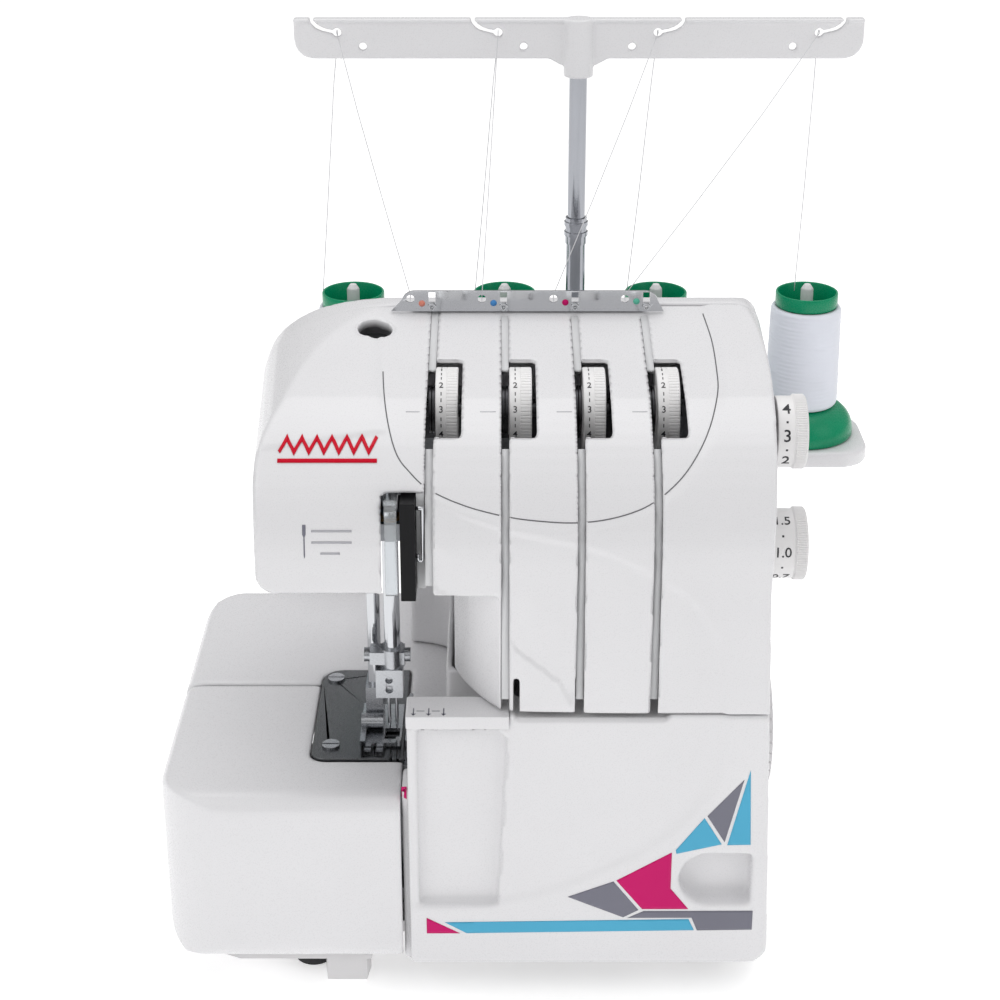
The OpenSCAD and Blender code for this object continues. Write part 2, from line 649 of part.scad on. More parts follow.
// Thread cone: hollow core with a flared foot, wound thread round it
module spool(i) {
    translate([spool_x(i), spool_y, 0]) {
        color(spool_green) rotate_extrude() polygon([[13, stand_top + 0.3], [27.2, stand_top + 0.3],
            [27.6, stand_top + 2], [27.4, stand_top + 6], [25.8, stand_top + 10], [22.6, stand_top + 13.6],
            [18.4, stand_top + 15.9], [15.5, stand_top + 16.4], [15, 249.6], [15.8, 249.9], [15.8, 256.8],
            [14.6, 256.8], [13.2, 245], [12, 240], [3.28, 240], [3.28, 236], [12, 236], [13.4, 196]]);
        color(shell_white) difference() {
            translate([0, 0, 197]) cylinder(h = 52.3, r1 = 18.8, r2 = 18);
            translate([0, 0, 196.4]) cylinder(h = 53.6, r1 = 15.6, r2 = 15.1);
        }
    }
}
// Thread routes: from the cone's rim through the antenna and down to the guide plate
thread_r = 0.2;
eyes = [-76.4, -0.9, 74, 149.5];
tips = [-89.8, -12.6, 64.4, 149.4];
ends = [-40.6, -8.2, 24.2, 56.6];
function route(i) = [[tips[i], 228, 257.6], [tips[i] + 0.4 * (eyes[i] - tips[i]), 216, 312],
    [tips[i] + 0.8 * (eyes[i] - tips[i]), 206, 370], [eyes[i], 203.6, 392], [eyes[i], 201.8, 395.2],
    [eyes[i], 199.8, 395.9], [eyes[i], 197.6, 395], [eyes[i] + 0.03 * (ends[i] - eyes[i]), 196, 391.6],
    [eyes[i] + 0.3 * (ends[i] - eyes[i]), 174, 362.4], [eyes[i] + 0.65 * (ends[i] - eyes[i]), 149, 326],
    [ends[i], 124.4, 290.8], [ends[i], 122.6, 290.2], [ends[i], 120, 289]];
function unit(v) = v / norm(v);
function ring(p, d, n) = let (a = unit(cross(d, [0.9, 0.1, 0.3])), b = cross(d, a))
    [for (k = [0:n - 1]) p + thread_r * (a * cos(360 * k / n) + b * sin(360 * k / n))];
module sweep(pts, n = 8) {
    last = len(pts) - 1;
    rings = [for (k = [0:last]) ring(pts[k], unit(pts[min(k + 1, last)] - pts[max(k - 1, 0)]), n)];
    verts = [for (r = rings) each r];
    sides = [for (k = [0:last - 1], j = [0:n - 1])
        [k * n + j, k * n + (j + 1) % n, (k + 1) * n + (j + 1) % n, (k + 1) * n + j]];
    polyhedron(verts, concat(sides, [[for (j = [n - 1:-1:0]) j]], [[for (j = [0:n - 1]) last * n + j]]));
}
module threads() color(shell_white) seat() for (i = [0:3]) sweep(route(i));

// ---------- looper cover ----------
module looper_elevation(t = 0) {
    r = 9;
    polygon(concat([[looper_left + t, cover_bottom + 1 - (t > 0 ? 1 : 0)]],
        t > 0 ? [[right_x(20) - r, cover_bottom]] : [],
        arc_pts([right_x(20) - r, cover_bottom + 1 + r], r - t, 270, 360, 5),
        [[right_x(split_z) - t, split_z - 0.6 - t], [looper_left + t, split_z - 0.6 - t]]));
}
module pocket_shape(g = 0) {
    // Scoop beside the needle plate, and the thumb grip
    r = 8;
    polygon(concat([[looper_left + 4 - g, 48 - g], [-1 + g, 48 - g]],
        arc_pts([3 - r + g, 138 - r], r, 0, 90, 5), [[looper_left + 4 - g, 138]]));
}
module grip_shape(g = 0) {
    r = 13.2 + g;
    union() {
        translate([92, 62]) circle(r = r);
        translate([92, 62 - r]) square([18.6 + g, 2 * r]);
    }
}
guide_right = 4;
gap_x = [6, 72];
module looper_cover() color(shell_white) seat() difference() {
    union() {
        difference() {
            along_y(0, looper_depth) looper_elevation();
            along_y(wall, looper_depth + 1) looper_elevation(wall);
        }
        along_y(1, 8) pocket_shape(3);
        along_y(1, 12) grip_shape(2.6);
        block([looper_left - 3, 4, cover_bottom + 1], [looper_left + eps, looper_depth, 106]);
        block([gap_x[0] - 1, 1, split_z - 5.6], [gap_x[1] + 1, looper_depth, split_z - 3]);
        for (x = [-30, 95]) {
            rod_x(x, x + 4, hinge_y, hinge_z, 4);
            block([x, 2, hinge_z - 3], [x + 4, hinge_y, hinge_z + 4]);
        }
    }
    along_y(-1, 5) pocket_shape();
    along_y(-1, 9) grip_shape();
    block([looper_left - 4, -3, split_z - 6.7], [guide_right, 17.1, split_z + 1]);
    // Finger gap under the front cover
    block([gap_x[0], -1, split_z - 2.6], [gap_x[1], looper_depth + 1, split_z + 1]);
    block([looper_left - 4, 17, 106], [0, looper_depth + 1, split_z + 1]);
    rod_x(-31, 100, hinge_y, hinge_z, 2.05);
}
module seam_guide() color(shell_white) seat()
    block([looper_left - 0.4, -0.3, split_z - 6.6], [guide_right - 0.1, 17, split_z - 0.6]);
module cover_hinge_rod() color(steel) seat() rod_x(-34, 103, hinge_y, hinge_z, 2);

// ---------- needle and presser ----------
module needle_bar() color(chrome) seat() rod_z(129, 248, needle_x, needle_y, 3.6);
module needle_clamp() color(steel) seat() {
    difference() {
        union() {
            block([-55.5, 44, 128], [-43.4, 56, 142]);
            rod_z(142 - eps, 151, needle_x, needle_y, 5.6);
            block([-58, 45.5, 144], [-42.6, 54.5, 150]);
        }
        rod_z(129, 152, needle_x, needle_y, 3.62);
        for (z = [132, 137]) rod_y(43, 46, -49.5, z, 1.7);
        for (x = [-50, -46.6]) rod_z(127, 129.5, x, needle_y, 0.82);
    }
    for (x = [-60.6, -42.6]) rod_x(x, x + 2.6, needle_y, 147, 3.2);
}
module needles() color(chrome) seat() for (x = [-50, -46.6]) {
    rod_z(112, 129, x, needle_y, 0.8);
    translate([x, needle_y, 108]) cylinder(h = 4 + eps, r1 = 0.15, r2 = 0.8);
}
module presser_bar() color(chrome) seat() rod_z(117, 250, presser_x, presser_y, 3);
module presser_foot() color(steel) seat() difference() {
    union() {
        block([-63, 42, 104.2], [-44.6, 76, 106]);
        block([-63, 42, 104.2], [-60.6, 72, 109]);
        block([-61, 56.5, 105], [-53.2, 70, 126]);
        rod_x(-63, -53, 54, 110.5, 3.4);
        along_x(-47, -44.6) polygon([[40, 108.4], [42, 104.2], [46, 104.2], [46, 107]]);
        along_x(-63, -60.6) polygon([[38.5, 109], [42, 104.2], [46, 104.2], [46, 109]]);
    }
    rod_z(117, 127, presser_x, presser_y, 3.02);
    block([-52.4, 45.4, 100], [-45.5, 54.6, 112]);
}
module presser_lifter() color(dark_plastic) seat() {
    difference() {
        rod_x(-61, -53, lifter_y, lifter_z, 5);
        rod_x(-62, -52, lifter_y, lifter_z, 2.05);
    }
    translate([0, lifter_y, lifter_z]) rotate([24, 0, 0]) {
        block([-59.5, -2.6, -38], [-54.5, 2.6, -3.2]);
        block([-62, -3.2, -46], [-52, 3.2, -37]);
    }
}
module pressure_screw() color([0.3, 0.3, 0.32]) seat() difference() {
    union() {
        rod_z(232, 268 + eps, screw_x, screw_y, 3);
        rod_z(268, 276, screw_x, screw_y, 6.4);
    }
    block([screw_x - 5, screw_y - 0.8, 274], [screw_x + 5, screw_y + 0.8, 277]);
}

// ---------- loopers, knives and feed ----------
module lower_looper() color(chrome) seat() difference() {
    union() {
        rod_y(42, 50, -24, 52, 6);
        along_y(43.5, 48.5) polygon([[-28, 54], [-20, 54], [-30, 84], [-36, 92], [-56, 95], [-57, 94],
            [-38, 87], [-34, 80]]);
    }
    rod_y(41, 51, -24, 52, 3.05);
}
module upper_looper() color(chrome) seat() difference() {
    union() {
        rod_y(28, 36, 8, 60, 6);
        along_y(29.5, 34.5) polygon([[3, 62], [12, 64], [0, 88], [-12, 100], [-28, 112], [-29, 111],
            [-16, 96], [-6, 84]]);
    }
    rod_y(27, 37, 8, 60, 3.05);
}
module upper_knife() color(steel) seat() {
    block([-41.4, 50, deck_z + 0.5], [-39.8, 58, 120]);
    block([-41.4, 57.9, 76], [-39.6, 62, 120]);
}
module feed_dogs() color(steel) seat() {
    for (x = [-61.2, -55.8]) {
        block([x, 38, 99], [x + 3, 74, 103.2]);
        for (k = [0:11]) translate([x, 38 + 3 * k, 103.2 - eps]) along_x(0, 3)
            polygon([[0, 0], [3, 0], [0.6, 0.7], [0, 0.7]]);
    }
    block([-61.2, 56, 90], [-52.8, 74, 99 + eps]);
}

// ---------- drive ----------
module main_shaft() color(steel) seat() rod_x(-16, 130, shaft_y, shaft_z, 5);
module drive_pulley() color(dark_plastic) seat() difference() {
    union() {
        rod_x(104, 105.5, shaft_y, shaft_z, pulley_r + 3);
        rod_x(104, 112, shaft_y, shaft_z, pulley_r);
        rod_x(110.5, 112, shaft_y, shaft_z, pulley_r + 3);
    }
    rod_x(103, 113, shaft_y, shaft_z, 5);
}
module handwheel() color(shell_white) seat() difference() {
    union() {
        rod_x(119, 130.5, shaft_y, shaft_z, handwheel_r);
        rod_x(118.2, 119.1, shaft_y, shaft_z, 10);
    }
    rod_x(126, 132, shaft_y, shaft_z, handwheel_r - 5);
    rod_x(118, 130, shaft_y, shaft_z, 5);
    for (k = [0:35]) translate([0, shaft_y, shaft_z]) rotate([k * 10, 0, 0])
        block([120.5, -0.7, handwheel_r - 0.8], [131, 0.7, handwheel_r + 1]);
}
module motor() color([0.25, 0.25, 0.27]) seat() difference() {
    union() {
        rod_x(54, 94, motor_y, motor_z, 24);
        rod_x(48, 54 + eps, motor_y, motor_z, 9);
    }
    rod_x(47, 95, motor_y, motor_z, 3.05);
}
module motor_pulley() color(steel) seat() {
    rod_x(52, 106, motor_y, motor_z, 3);
    rod_x(105 - eps, 111.5, motor_y, motor_z, motor_pulley_r);
}
// Belt round the two pulleys, one solid of even thickness
module belt_ring(grow) {
    d = [motor_y - shaft_y, motor_z - shaft_z];
    tilt = atan2(d[1], d[0]);
    lean = acos((pulley_r - motor_pulley_r) / norm(d));
    polygon(concat(
        arc_pts([shaft_y, shaft_z], pulley_r + grow, tilt + lean, tilt + 360 - lean, 24),
        arc_pts([motor_y, motor_z], motor_pulley_r + grow, tilt - lean, tilt + lean, 10)));
}
module drive_belt() color(dark_plastic) seat() difference() {
    along_x(106, 110) belt_ring(1.9);
    along_x(105, 111) belt_ring(0.3);
}
module power_inlet() color(dark_plastic) seat() difference() {
    block([14.2, 168, 44.2], [40.8, body_back + 0.8, 65.8]);
    block([17, 174, 47], [38, body_back + 2, 63]);
}
// Barrel-shaped rocker with one side pressed in
module power_switch() color(dark_plastic) seat() difference() {
    rod_z(switch_z - 4, switch_z + 4, 114, switch_y, 6);
    translate([114, switch_y, 0]) rotate([0, 0, 38]) block([4.6, -7, 0], [8, 7, 100]);
}
module lamp_lens() color([0.95, 0.95, 0.9]) seat() {
    block([-92, 32, head_z + wall], [-74, 52, head_z + wall + 3]);
    block([-90, 34, head_z - 0.6], [-76, 50, head_z + wall + eps]);
}

// ---------- dials on the right wall ----------
module side_dial(c, x0, x1) {
    difference() {
        rod_x(x1 - 5, x1, c[0], c[1], 16.2);
        for (k = [0:35]) translate([0, c[0], c[1]]) rotate([k * 10, 0, 0])
            block([x1 - 4.4, -0.5, 15.6], [x1 + 1, 0.5, 17]);
    }
    rod_x(x0 + 0.8, x1 - 5 + eps, c[0], c[1], 15.2);
    rod_x(x0 - 14, x0 + 1, c[0], c[1], 4.2);
    rod_x(x0 - 14, x0 - 9, c[0], c[1], 7);
}
module stitch_length_dial() color(shell_white) seat()
    side_dial(length_dial, right_x(length_dial[1]) + 3.1, 130.5);
module differential_feed_dial() color(shell_white) seat()
    side_dial(feed_dial, right_x(feed_dial[1]) + 3.2, 133.5);

base_tray();
rubber_feet();
main_frame();
front_cover();
thread_channels();
face_cover();
rear_cover();
side_cover();
bed_cover();
needle_plate();
machine_screws();
lower_knife();
guide_plate();
tension_bracket();
tension_discs();
needle_guard();
take_up_cover();
wire_hook();
spool_stand();
spool_pins();
antenna_lower_tube();
motor();
drive_belt();
power_inlet();
lamp_lens();
bushes();
hinge_pin();
looper_cover();
seam_guide();
cover_hinge_rod();
cloth_plate();
needle_bar();
needle_clamp();
needles();
presser_bar();
presser_foot();
presser_lifter();
pressure_screw();
upper_looper();
lower_looper();
upper_knife();
feed_dogs();
main_shaft();
drive_pulley();
handwheel();
motor_pulley();
tension_dial(0);  // tension_dial_1
tension_dial(1);  // tension_dial_2
tension_dial(2);  // tension_dial_3
tension_dial(3);  // tension_dial_4
stitch_length_dial();
differential_feed_dial();
antenna_upper_tube();
antenna_bar();
seat() spool(0);  // spool_1
seat() spool(1);  // spool_2
seat() spool(2);  // spool_3
seat() spool(3);  // spool_4
threads();
power_switch();
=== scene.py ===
import math

import bmesh
import bpy
import numpy as np
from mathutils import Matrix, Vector
from mathutils.bvhtree import BVHTree


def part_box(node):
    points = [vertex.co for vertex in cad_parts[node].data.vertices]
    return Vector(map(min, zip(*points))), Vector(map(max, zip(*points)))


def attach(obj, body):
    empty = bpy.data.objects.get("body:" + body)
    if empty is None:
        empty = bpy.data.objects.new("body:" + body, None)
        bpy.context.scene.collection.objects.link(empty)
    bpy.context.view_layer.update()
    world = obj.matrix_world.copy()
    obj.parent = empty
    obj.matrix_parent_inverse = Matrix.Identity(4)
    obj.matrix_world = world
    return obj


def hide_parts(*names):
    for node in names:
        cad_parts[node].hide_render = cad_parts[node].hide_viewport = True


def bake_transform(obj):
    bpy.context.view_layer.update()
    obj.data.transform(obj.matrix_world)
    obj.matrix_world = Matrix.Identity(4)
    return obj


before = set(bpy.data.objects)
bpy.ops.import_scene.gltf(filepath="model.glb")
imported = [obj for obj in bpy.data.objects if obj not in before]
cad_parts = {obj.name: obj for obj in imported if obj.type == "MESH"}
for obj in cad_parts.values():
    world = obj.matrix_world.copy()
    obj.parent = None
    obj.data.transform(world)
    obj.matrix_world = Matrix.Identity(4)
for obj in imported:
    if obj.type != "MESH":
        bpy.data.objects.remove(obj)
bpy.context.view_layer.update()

# Machine coordinates are millimetres: X right, Y back from the looper cover's face, Z up.
# The shared frame's origin is at (MID_X, MID_Y, 0) in them.
MID_X, MID_Y = 19.0, 132.5
MID = np.array([MID_X, MID_Y, 0])


def P(x, y, z):
    """Point in the frame, in metres, from machine coordinates."""
    return Vector(((x - MID_X) / 1000, (y - MID_Y) / 1000, z / 1000))


def add_object(name, data):
    o = bpy.data.objects.new(name, data)
    bpy.context.scene.collection.objects.link(o)
    return o


# ---------------------------------------------------------------- camera
CAMERA_AT = (-0.019, -0.8682, 0.5857)
CAMERA_TILT = math.radians(67.5)

cam_data = bpy.data.cameras.new("camera")
cam_data.lens = 72
cam_data.sensor_width = 36
cam_data.shift_y = -0.08
cam = add_object("camera", cam_data)
cam.location = CAMERA_AT
cam.rotation_euler = (CAMERA_TILT, 0, 0)
bpy.context.scene.camera = cam

# ---------------------------------------------------------------- materials
CLOUD_SCALE, CLOUD_DETAIL = 22, 4
GRAIN_DETAIL = 3
GRAIN_DEPTH = 0.0002
NOISE_RANGE = (0.3, 0.7)


def noise(nt, vector, scale, detail):
    node = nt.nodes.new("ShaderNodeTexNoise")
    node.inputs["Scale"].default_value = scale
    node.inputs["Detail"].default_value = detail
    nt.links.new(vector, node.inputs["Vector"])
    return node.outputs["Fac"]


def map_range(nt, value, source, target):
    node = nt.nodes.new("ShaderNodeMapRange")
    node.inputs["From Min"].default_value, node.inputs["From Max"].default_value = source
    node.inputs["To Min"].default_value, node.inputs["To Max"].default_value = target
    nt.links.new(value, node.inputs["Value"])
    return node.outputs["Result"]


def material(name, base, rough=0.35, metal=0.0, grain=1400, bump=0.05, tint=0.03,
             stretch=(1, 1, 1), spread=0.06, **sockets):
    """Principled material: a cloudy tint, and fine grain in roughness and bump."""
    m = bpy.data.materials.new(name)
    m.use_nodes = True
    nt = m.node_tree
    shader = nt.nodes["Principled BSDF"]
    place = nt.nodes.new("ShaderNodeTexCoord").outputs["Object"]
    ramp = nt.nodes.new("ShaderNodeValToRGB")
    dark, light = ramp.color_ramp.elements
    dark.position, light.position = NOISE_RANGE
    dark.color = (*[max(c * (1 - tint), 0) for c in base], 1)
    light.color = (*[min(c * (1 + tint), 1) for c in base], 1)
    nt.links.new(noise(nt, place, CLOUD_SCALE, CLOUD_DETAIL), ramp.inputs["Fac"])
    nt.links.new(ramp.outputs["Color"], shader.inputs["Base Color"])
    mapping = nt.nodes.new("ShaderNodeMapping")
    mapping.inputs["Scale"].default_value = stretch
    nt.links.new(place, mapping.inputs["Vector"])
    fine = noise(nt, mapping.outputs["Vector"], grain, GRAIN_DETAIL)
    gloss = map_range(nt, fine, NOISE_RANGE, (max(rough - spread, 0.02), rough + spread))
    nt.links.new(gloss, shader.inputs["Roughness"])
    relief = nt.nodes.new("ShaderNodeBump")
    relief.inputs["Strength"].default_value = bump
    relief.inputs["Distance"].default_value = GRAIN_DEPTH
    nt.links.new(fine, relief.inputs["Height"])
    nt.links.new(relief.outputs["Normal"], shader.inputs["Normal"])
    shader.inputs["Metallic"].default_value = metal
    for key, value in sockets.items():
        socket = key.replace("_", " ").title().replace("Ior", "IOR")
        shader.inputs[socket].default_value = value
    return m


def thread_material(name, base):
    """Wound or laid sewing thread: fine twisted strands."""
    return material(name, base, rough=0.6, grain=3000, bump=0.3, tint=0.05, sheen_weight=0.35)


def ink(name, base, rough=0.34, tint=0.03, **sockets):
    """Printed film on the casing, and the painted shade line round the oval field."""
    return material(name, base, rough=rough, grain=2600, bump=0.03, tint=tint, **sockets)


# Plastics and rubber
WHITE = material("shell_white", (0.74, 0.735, 0.75), rough=0.3, grain=2200, bump=0.035, tint=0.012,
                 coat_weight=0.12, coat_roughness=0.2)
WHITE_SATIN = material("moulding_white", (0.7, 0.69, 0.7), rough=0.38, grain=2600, tint=0.015)
DIAL_WHITE = material("dial_white", (0.82, 0.81, 0.81), rough=0.4, grain=2600, tint=0.02)
GREY_LINING = material("channel_grey", (0.62, 0.625, 0.635), rough=0.45, grain=2000, bump=0.08, tint=0.08)
BLACK = material("black_plastic", (0.005, 0.005, 0.006), rough=0.45, grain=2600, bump=0.1, tint=0.3,
                 specular_ior_level=0.18)
RUBBER = material("foot_rubber", (0.016, 0.016, 0.017), rough=0.7, grain=1800, bump=0.2, tint=0.2)
CLEAR = material("clear_plastic", (0.9, 0.93, 0.95), rough=0.06, grain=600, bump=0.01, tint=0.01, spread=0.02,
                 transmission_weight=0.85, ior=1.46)
GREEN = material("cone_green", (0.0, 0.25, 0.115), rough=0.28, grain=1800, bump=0.03, tint=0.06,
                 specular_ior_level=0.3)
# Metals
CAST = material("cast_frame", (0.32, 0.33, 0.35), rough=0.5, metal=0.9, grain=700, bump=0.25, tint=0.1)
BRONZE = material("bush_bronze", (0.5, 0.33, 0.15), rough=0.45, metal=1.0, grain=1200, bump=0.15, tint=0.15)
STEEL = material("brushed_steel", (0.42, 0.43, 0.45), rough=0.26, metal=1.0, grain=900, tint=0.08,
                 stretch=(1, 12, 12))
PLATE = material("needle_plate_steel", (0.14, 0.145, 0.15), rough=0.3, metal=1.0, grain=500, bump=0.06,
                 tint=0.07, stretch=(30, 1, 1))
CHROME = material("bright_chrome", (0.55, 0.56, 0.58), rough=0.1, metal=1.0, grain=1500, bump=0.01,
                  tint=0.04, spread=0.05)
# Painted shade: the same chrome as the other bright parts with a darker base, standing in for the dark
# reflections on the antenna tubes
POLE = material("pole_chrome_painted_shade", (0.36, 0.37, 0.4), rough=0.14, metal=1.0, grain=1500, bump=0.01,
                tint=0.04, spread=0.04)
MOTOR = material("motor_paint", (0.05, 0.05, 0.055), rough=0.4, metal=0.2, grain=900, bump=0.15, tint=0.15)
DARK_STEEL = material("dark_steel", (0.07, 0.07, 0.075), metal=1.0, grain=900, bump=0.06, tint=0.1)
SCREW = material("screw_black", (0.02, 0.02, 0.022), metal=0.5, grain=900, bump=0.1, tint=0.2)
# Thread and print, and a line of painted shade
THREAD = thread_material("wound_thread", (0.74, 0.76, 0.83))
STRAND = thread_material("laid_thread", (0.6, 0.6, 0.62))
INK = material("print_black", (0.02, 0.02, 0.025), rough=0.5, grain=2600, bump=0.04, tint=0.1)
PRINT = {
    "cyan": ink("print_cyan", (0.08, 0.4, 0.6), specular_ior_level=0.2),
    "grey": ink("print_grey", (0.18, 0.18, 0.22), specular_ior_level=0.2),
    "magenta": ink("print_magenta", (0.56, 0.0, 0.13), specular_ior_level=0.2),
    "red": ink("print_red", (0.6, 0.0, 0.02), specular_ior_level=0.2),
    "salmon": ink("print_salmon", (0.75, 0.25, 0.18)),
    "blue": ink("print_blue", (0.05, 0.25, 0.6)),
    "mint": ink("print_mint", (0.1, 0.5, 0.35)),
    "pale": ink("print_pale_grey", (0.4, 0.4, 0.43), rough=0.4),
    # Not print: painted shade, a dark line that stands in for the shade in the groove round the oval field
    "line": ink("joint_shadow", (0.13, 0.13, 0.14), rough=0.6, tint=0.05),
}

# ---------------------------------------------------------------- mesh helpers
MERGE = 0.00001


def smooth_faces(mesh):
    mesh.polygons.foreach_set("use_smooth", [True] * len(mesh.polygons))


def mesh_of(bm, name):
    mesh = bpy.data.meshes.new(name)
    bm.to_mesh(mesh)
    bm.free()
    return mesh


def place_piece(mesh, name, mat, body, smooth=True):
    """A piece of one material that rides a body."""
    o = add_object(name, mesh)
    mesh.materials.clear()
    mesh.materials.append(mat)
    if smooth:
        smooth_faces(mesh)
    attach(o, body)
    return o


def from_bmesh(bm, name, mat, body):
    bmesh.ops.recalc_face_normals(bm, faces=bm.faces)
    return place_piece(mesh_of(bm, name), name, mat, body)


def evaluated(o):
    """Mesh of an object with its modifiers applied."""
    dg = bpy.context.evaluated_depsgraph_get()
    dg.update()
    return bpy.data.meshes.new_from_object(o.evaluated_get(dg))


def auto_smooth(o, angle=35):
    """Sharp edges stay sharp, the rest shades smooth."""
    smooth_faces(o.data)
    o.data.set_sharp_from_angle(angle=math.radians(angle))


def weld(o):
    o.modifiers.new("weld", "WELD").merge_threshold = MERGE


def film(o, thickness=0.00008, offset=-1):
    """Gives a flat print its thickness."""
    s = o.modifiers.new("film", "SOLIDIFY")
    s.thickness, s.offset = thickness, offset
    return o


def cut_grid(bm, axes, pitch):
    """Cuts flat faces by planes across the given axes, so that they can bend."""
    for k in axes:
        lo = min(v.co[k] for v in bm.verts)
        hi = max(v.co[k] for v in bm.verts)
        across = Vector((0, 0, 0))
        across[k] = 1
        for i in range(1, int((hi - lo) / pitch) + 1):
            parts = bm.verts[:] + bm.edges[:] + bm.faces[:]
            bmesh.ops.bisect_plane(bm, geom=parts, plane_co=across * (lo + i * pitch), plane_no=across)


def dress(node, mat, bevel=0.0003, angle=35):
    """A CAD node that stays: its material, welded, with small bevelled edges."""
    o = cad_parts[node]
    o.data.materials.clear()
    o.data.materials.append(mat)
    smooth_faces(o.data)
    weld(o)
    if bevel:
        b = o.modifiers.new("bevel", "BEVEL")
        b.width, b.segments, b.limit_method = bevel, 2, "ANGLE"
        b.angle_limit = math.radians(angle)
        b.harden_normals = True
    o.modifiers.new("normals", "WEIGHTED_NORMAL").keep_sharp = True


def lathe(profile, name, mat, body, axis="z", centre=(0, 0, 0), steps=96, shape=None):
    """Closed surface of revolution. profile is (radius, height) pairs, shape(angle, k) adds to a radius."""
    bm = bmesh.new()
    rings = []
    for i in range(steps):
        a = 2 * math.pi * i / steps
        ring = []
        for k, (r, h) in enumerate(profile):
            r += shape(a, k) if shape else 0
            u, v = r * math.cos(a), r * math.sin(a)
            p = {"z": (u, v, h), "x": (h, -u, v)}[axis]
            ring.append(bm.verts.new(P(centre[0] + p[0], centre[1] + p[1], centre[2] + p[2])))
        rings.append(ring)
    join_rings(bm, rings)
    return from_bmesh(bm, name, mat, body)


def join_rings(bm, rings):
    """Faces of a closed tube from rings round it, each ring a closed section."""
    n = len(rings[0])
    for a, b in zip(rings, rings[1:] + rings[:1]):
        for k in range(n):
            bm.faces.new((a[k], b[k], b[(k + 1) % n], a[(k + 1) % n]))


def smooth_mesh(co, edges, rounds, shrink=0.5, grow=-0.52):
    """Averages each point with its neighbours, shrinking and growing in turn."""
    n = len(co)
    count = np.bincount(edges.ravel(), minlength=n)[:, None].astype(float)
    for _ in range(rounds):
        for f in (shrink, grow):
            acc = np.zeros_like(co)
            np.add.at(acc, edges[:, 0], co[edges[:, 1]])
            np.add.at(acc, edges[:, 1], co[edges[:, 0]])
            co += f * (acc / count - co)
    return co


def read(items, field, kind=float, width=3):
    values = np.zeros(len(items) * width, kind)
    items.foreach_get(field, values)
    return values.reshape(-1, width)


def set_points(mesh, co):
    mesh.vertices.foreach_set("co", co.ravel())
    mesh.update()


def shell(node, body, voxel=0.0012, rounds=6, soften=2, relief=None):
    """A moulded cover: the CAD shape with rounded edges, and shallow relief where asked."""
    o = add_object(node + "_moulding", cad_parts[node].data.copy())
    weld(o)
    remesh = o.modifiers.new("remesh", "REMESH")
    remesh.mode, remesh.voxel_size = "VOXEL", voxel * 1
    mesh = evaluated(o)
    o.modifiers.clear()
    o.data = mesh
    edges = read(mesh.edges, "vertices", int, 2)
    co = smooth_mesh(read(mesh.vertices, "co"), edges, soften, grow=0.0)
    co = smooth_mesh(co, edges, rounds)
    lo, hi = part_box(node)
    co = np.clip(co, np.array(lo), np.array(hi))
    set_points(mesh, co)
    if relief:
        mm = co * 1000 + MID
        mm = mm + relief(mm, read(mesh.vertices, "normal"))
        set_points(mesh, (mm - MID) / 1000)
    mesh.materials.clear()
    mesh.materials.append(WHITE)
    smooth_faces(mesh)
    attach(o, body)
    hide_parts(node)
    return o


def bez(a, b, c, d, n=24):
    a, b, c, d = map(np.array, (a, b, c, d))
    t = np.linspace(0, 1, n + 1)[:, None]
    u = 1 - t
    return u**3 * a + 3 * u * u * t * b + 3 * u * t * t * c + t**3 * d


# Side profile of the casing's front and top as (Y, Z), with its running length
FOOT = [[0, 16], [0, 145], [0.3, 160]]
NOSE = bez((3, 215), (5, 245), (22, 262), (50, 271))
FRONT = np.vstack([FOOT, NOSE, [[130, 285]]])
RUN = np.concatenate([[0], np.cumsum(np.linalg.norm(np.diff(FRONT, axis=0), axis=1))])
# Above this height the profile is followed by Y, below it by Z
NOSE_Z = 245


def run_of(y, z):
    """Running length along the casing's profile of a point on it."""
    by_z = np.interp(z, FRONT[:, 1], RUN)
    by_y = np.interp(y, FRONT[len(FOOT):, 0], RUN[len(FOOT):])
    return np.where(z > NOSE_Z, by_y, by_z)


def edge_distance(px, py, a, b):
    """Distance of points from the segment a to b."""
    d = np.array([b[0] - a[0], b[1] - a[1]])
    t = np.clip(((px - a[0]) * d[0] + (py - a[1]) * d[1]) / max(d @ d, 1e-9), 0, 1)
    return np.hypot(px - a[0] - t * d[0], py - a[1] - t * d[1])


def profile_gap(y, z):
    """Distance of a point from the casing's profile."""
    return np.min([edge_distance(y, z, a, b) for a, b in zip(FRONT[:-1], FRONT[1:])], axis=0)


def inside_by(px, py, poly):
    """Signed distance to a polygon's edge, positive inside."""
    poly = np.array(poly, float)
    dist = np.full(len(px), 1e9)
    odd = np.zeros(len(px), bool)
    for (x0, y0), (x1, y1) in zip(poly, np.roll(poly, -1, 0)):
        dist = np.minimum(dist, edge_distance(px, py, (x0, y0), (x1, y1)))
        odd ^= ((y0 > py) != (y1 > py)) & (px < (x1 - x0) * (py - y0) / (y1 - y0 + 1e-12) + x0)
    return np.where(odd, dist, -dist)


def step(d, width):
    """Smooth step from 0 to 1, width wide, across a distance of 0."""
    t = np.clip(d / width + 0.5, 0, 1)
    return t * t * (3 - 2 * t)


def spline(points, n=8):
    """Smooth open line through points (Catmull-Rom)."""
    pts = [points[0]] + list(points) + [points[-1]]
    out = []
    for i in range(1, len(pts) - 2):
        a, b, c, d = (np.array(p, float) for p in pts[i - 1:i + 3])
        for k in range(n):
            t = k / n
            curve = (2 * a - 5 * b + 4 * c - d) * t * t + (3 * b - a - 3 * c + d) * t**3
            out.append(tuple(0.5 * (2 * b + (c - a) * t + curve)))
    return out + [tuple(map(float, pts[-1]))]


def surf(x, y, z):
    """Point on the casing's front as (X, running length)."""
    return (x, float(run_of(np.array([y]), np.array([z]))[0]))


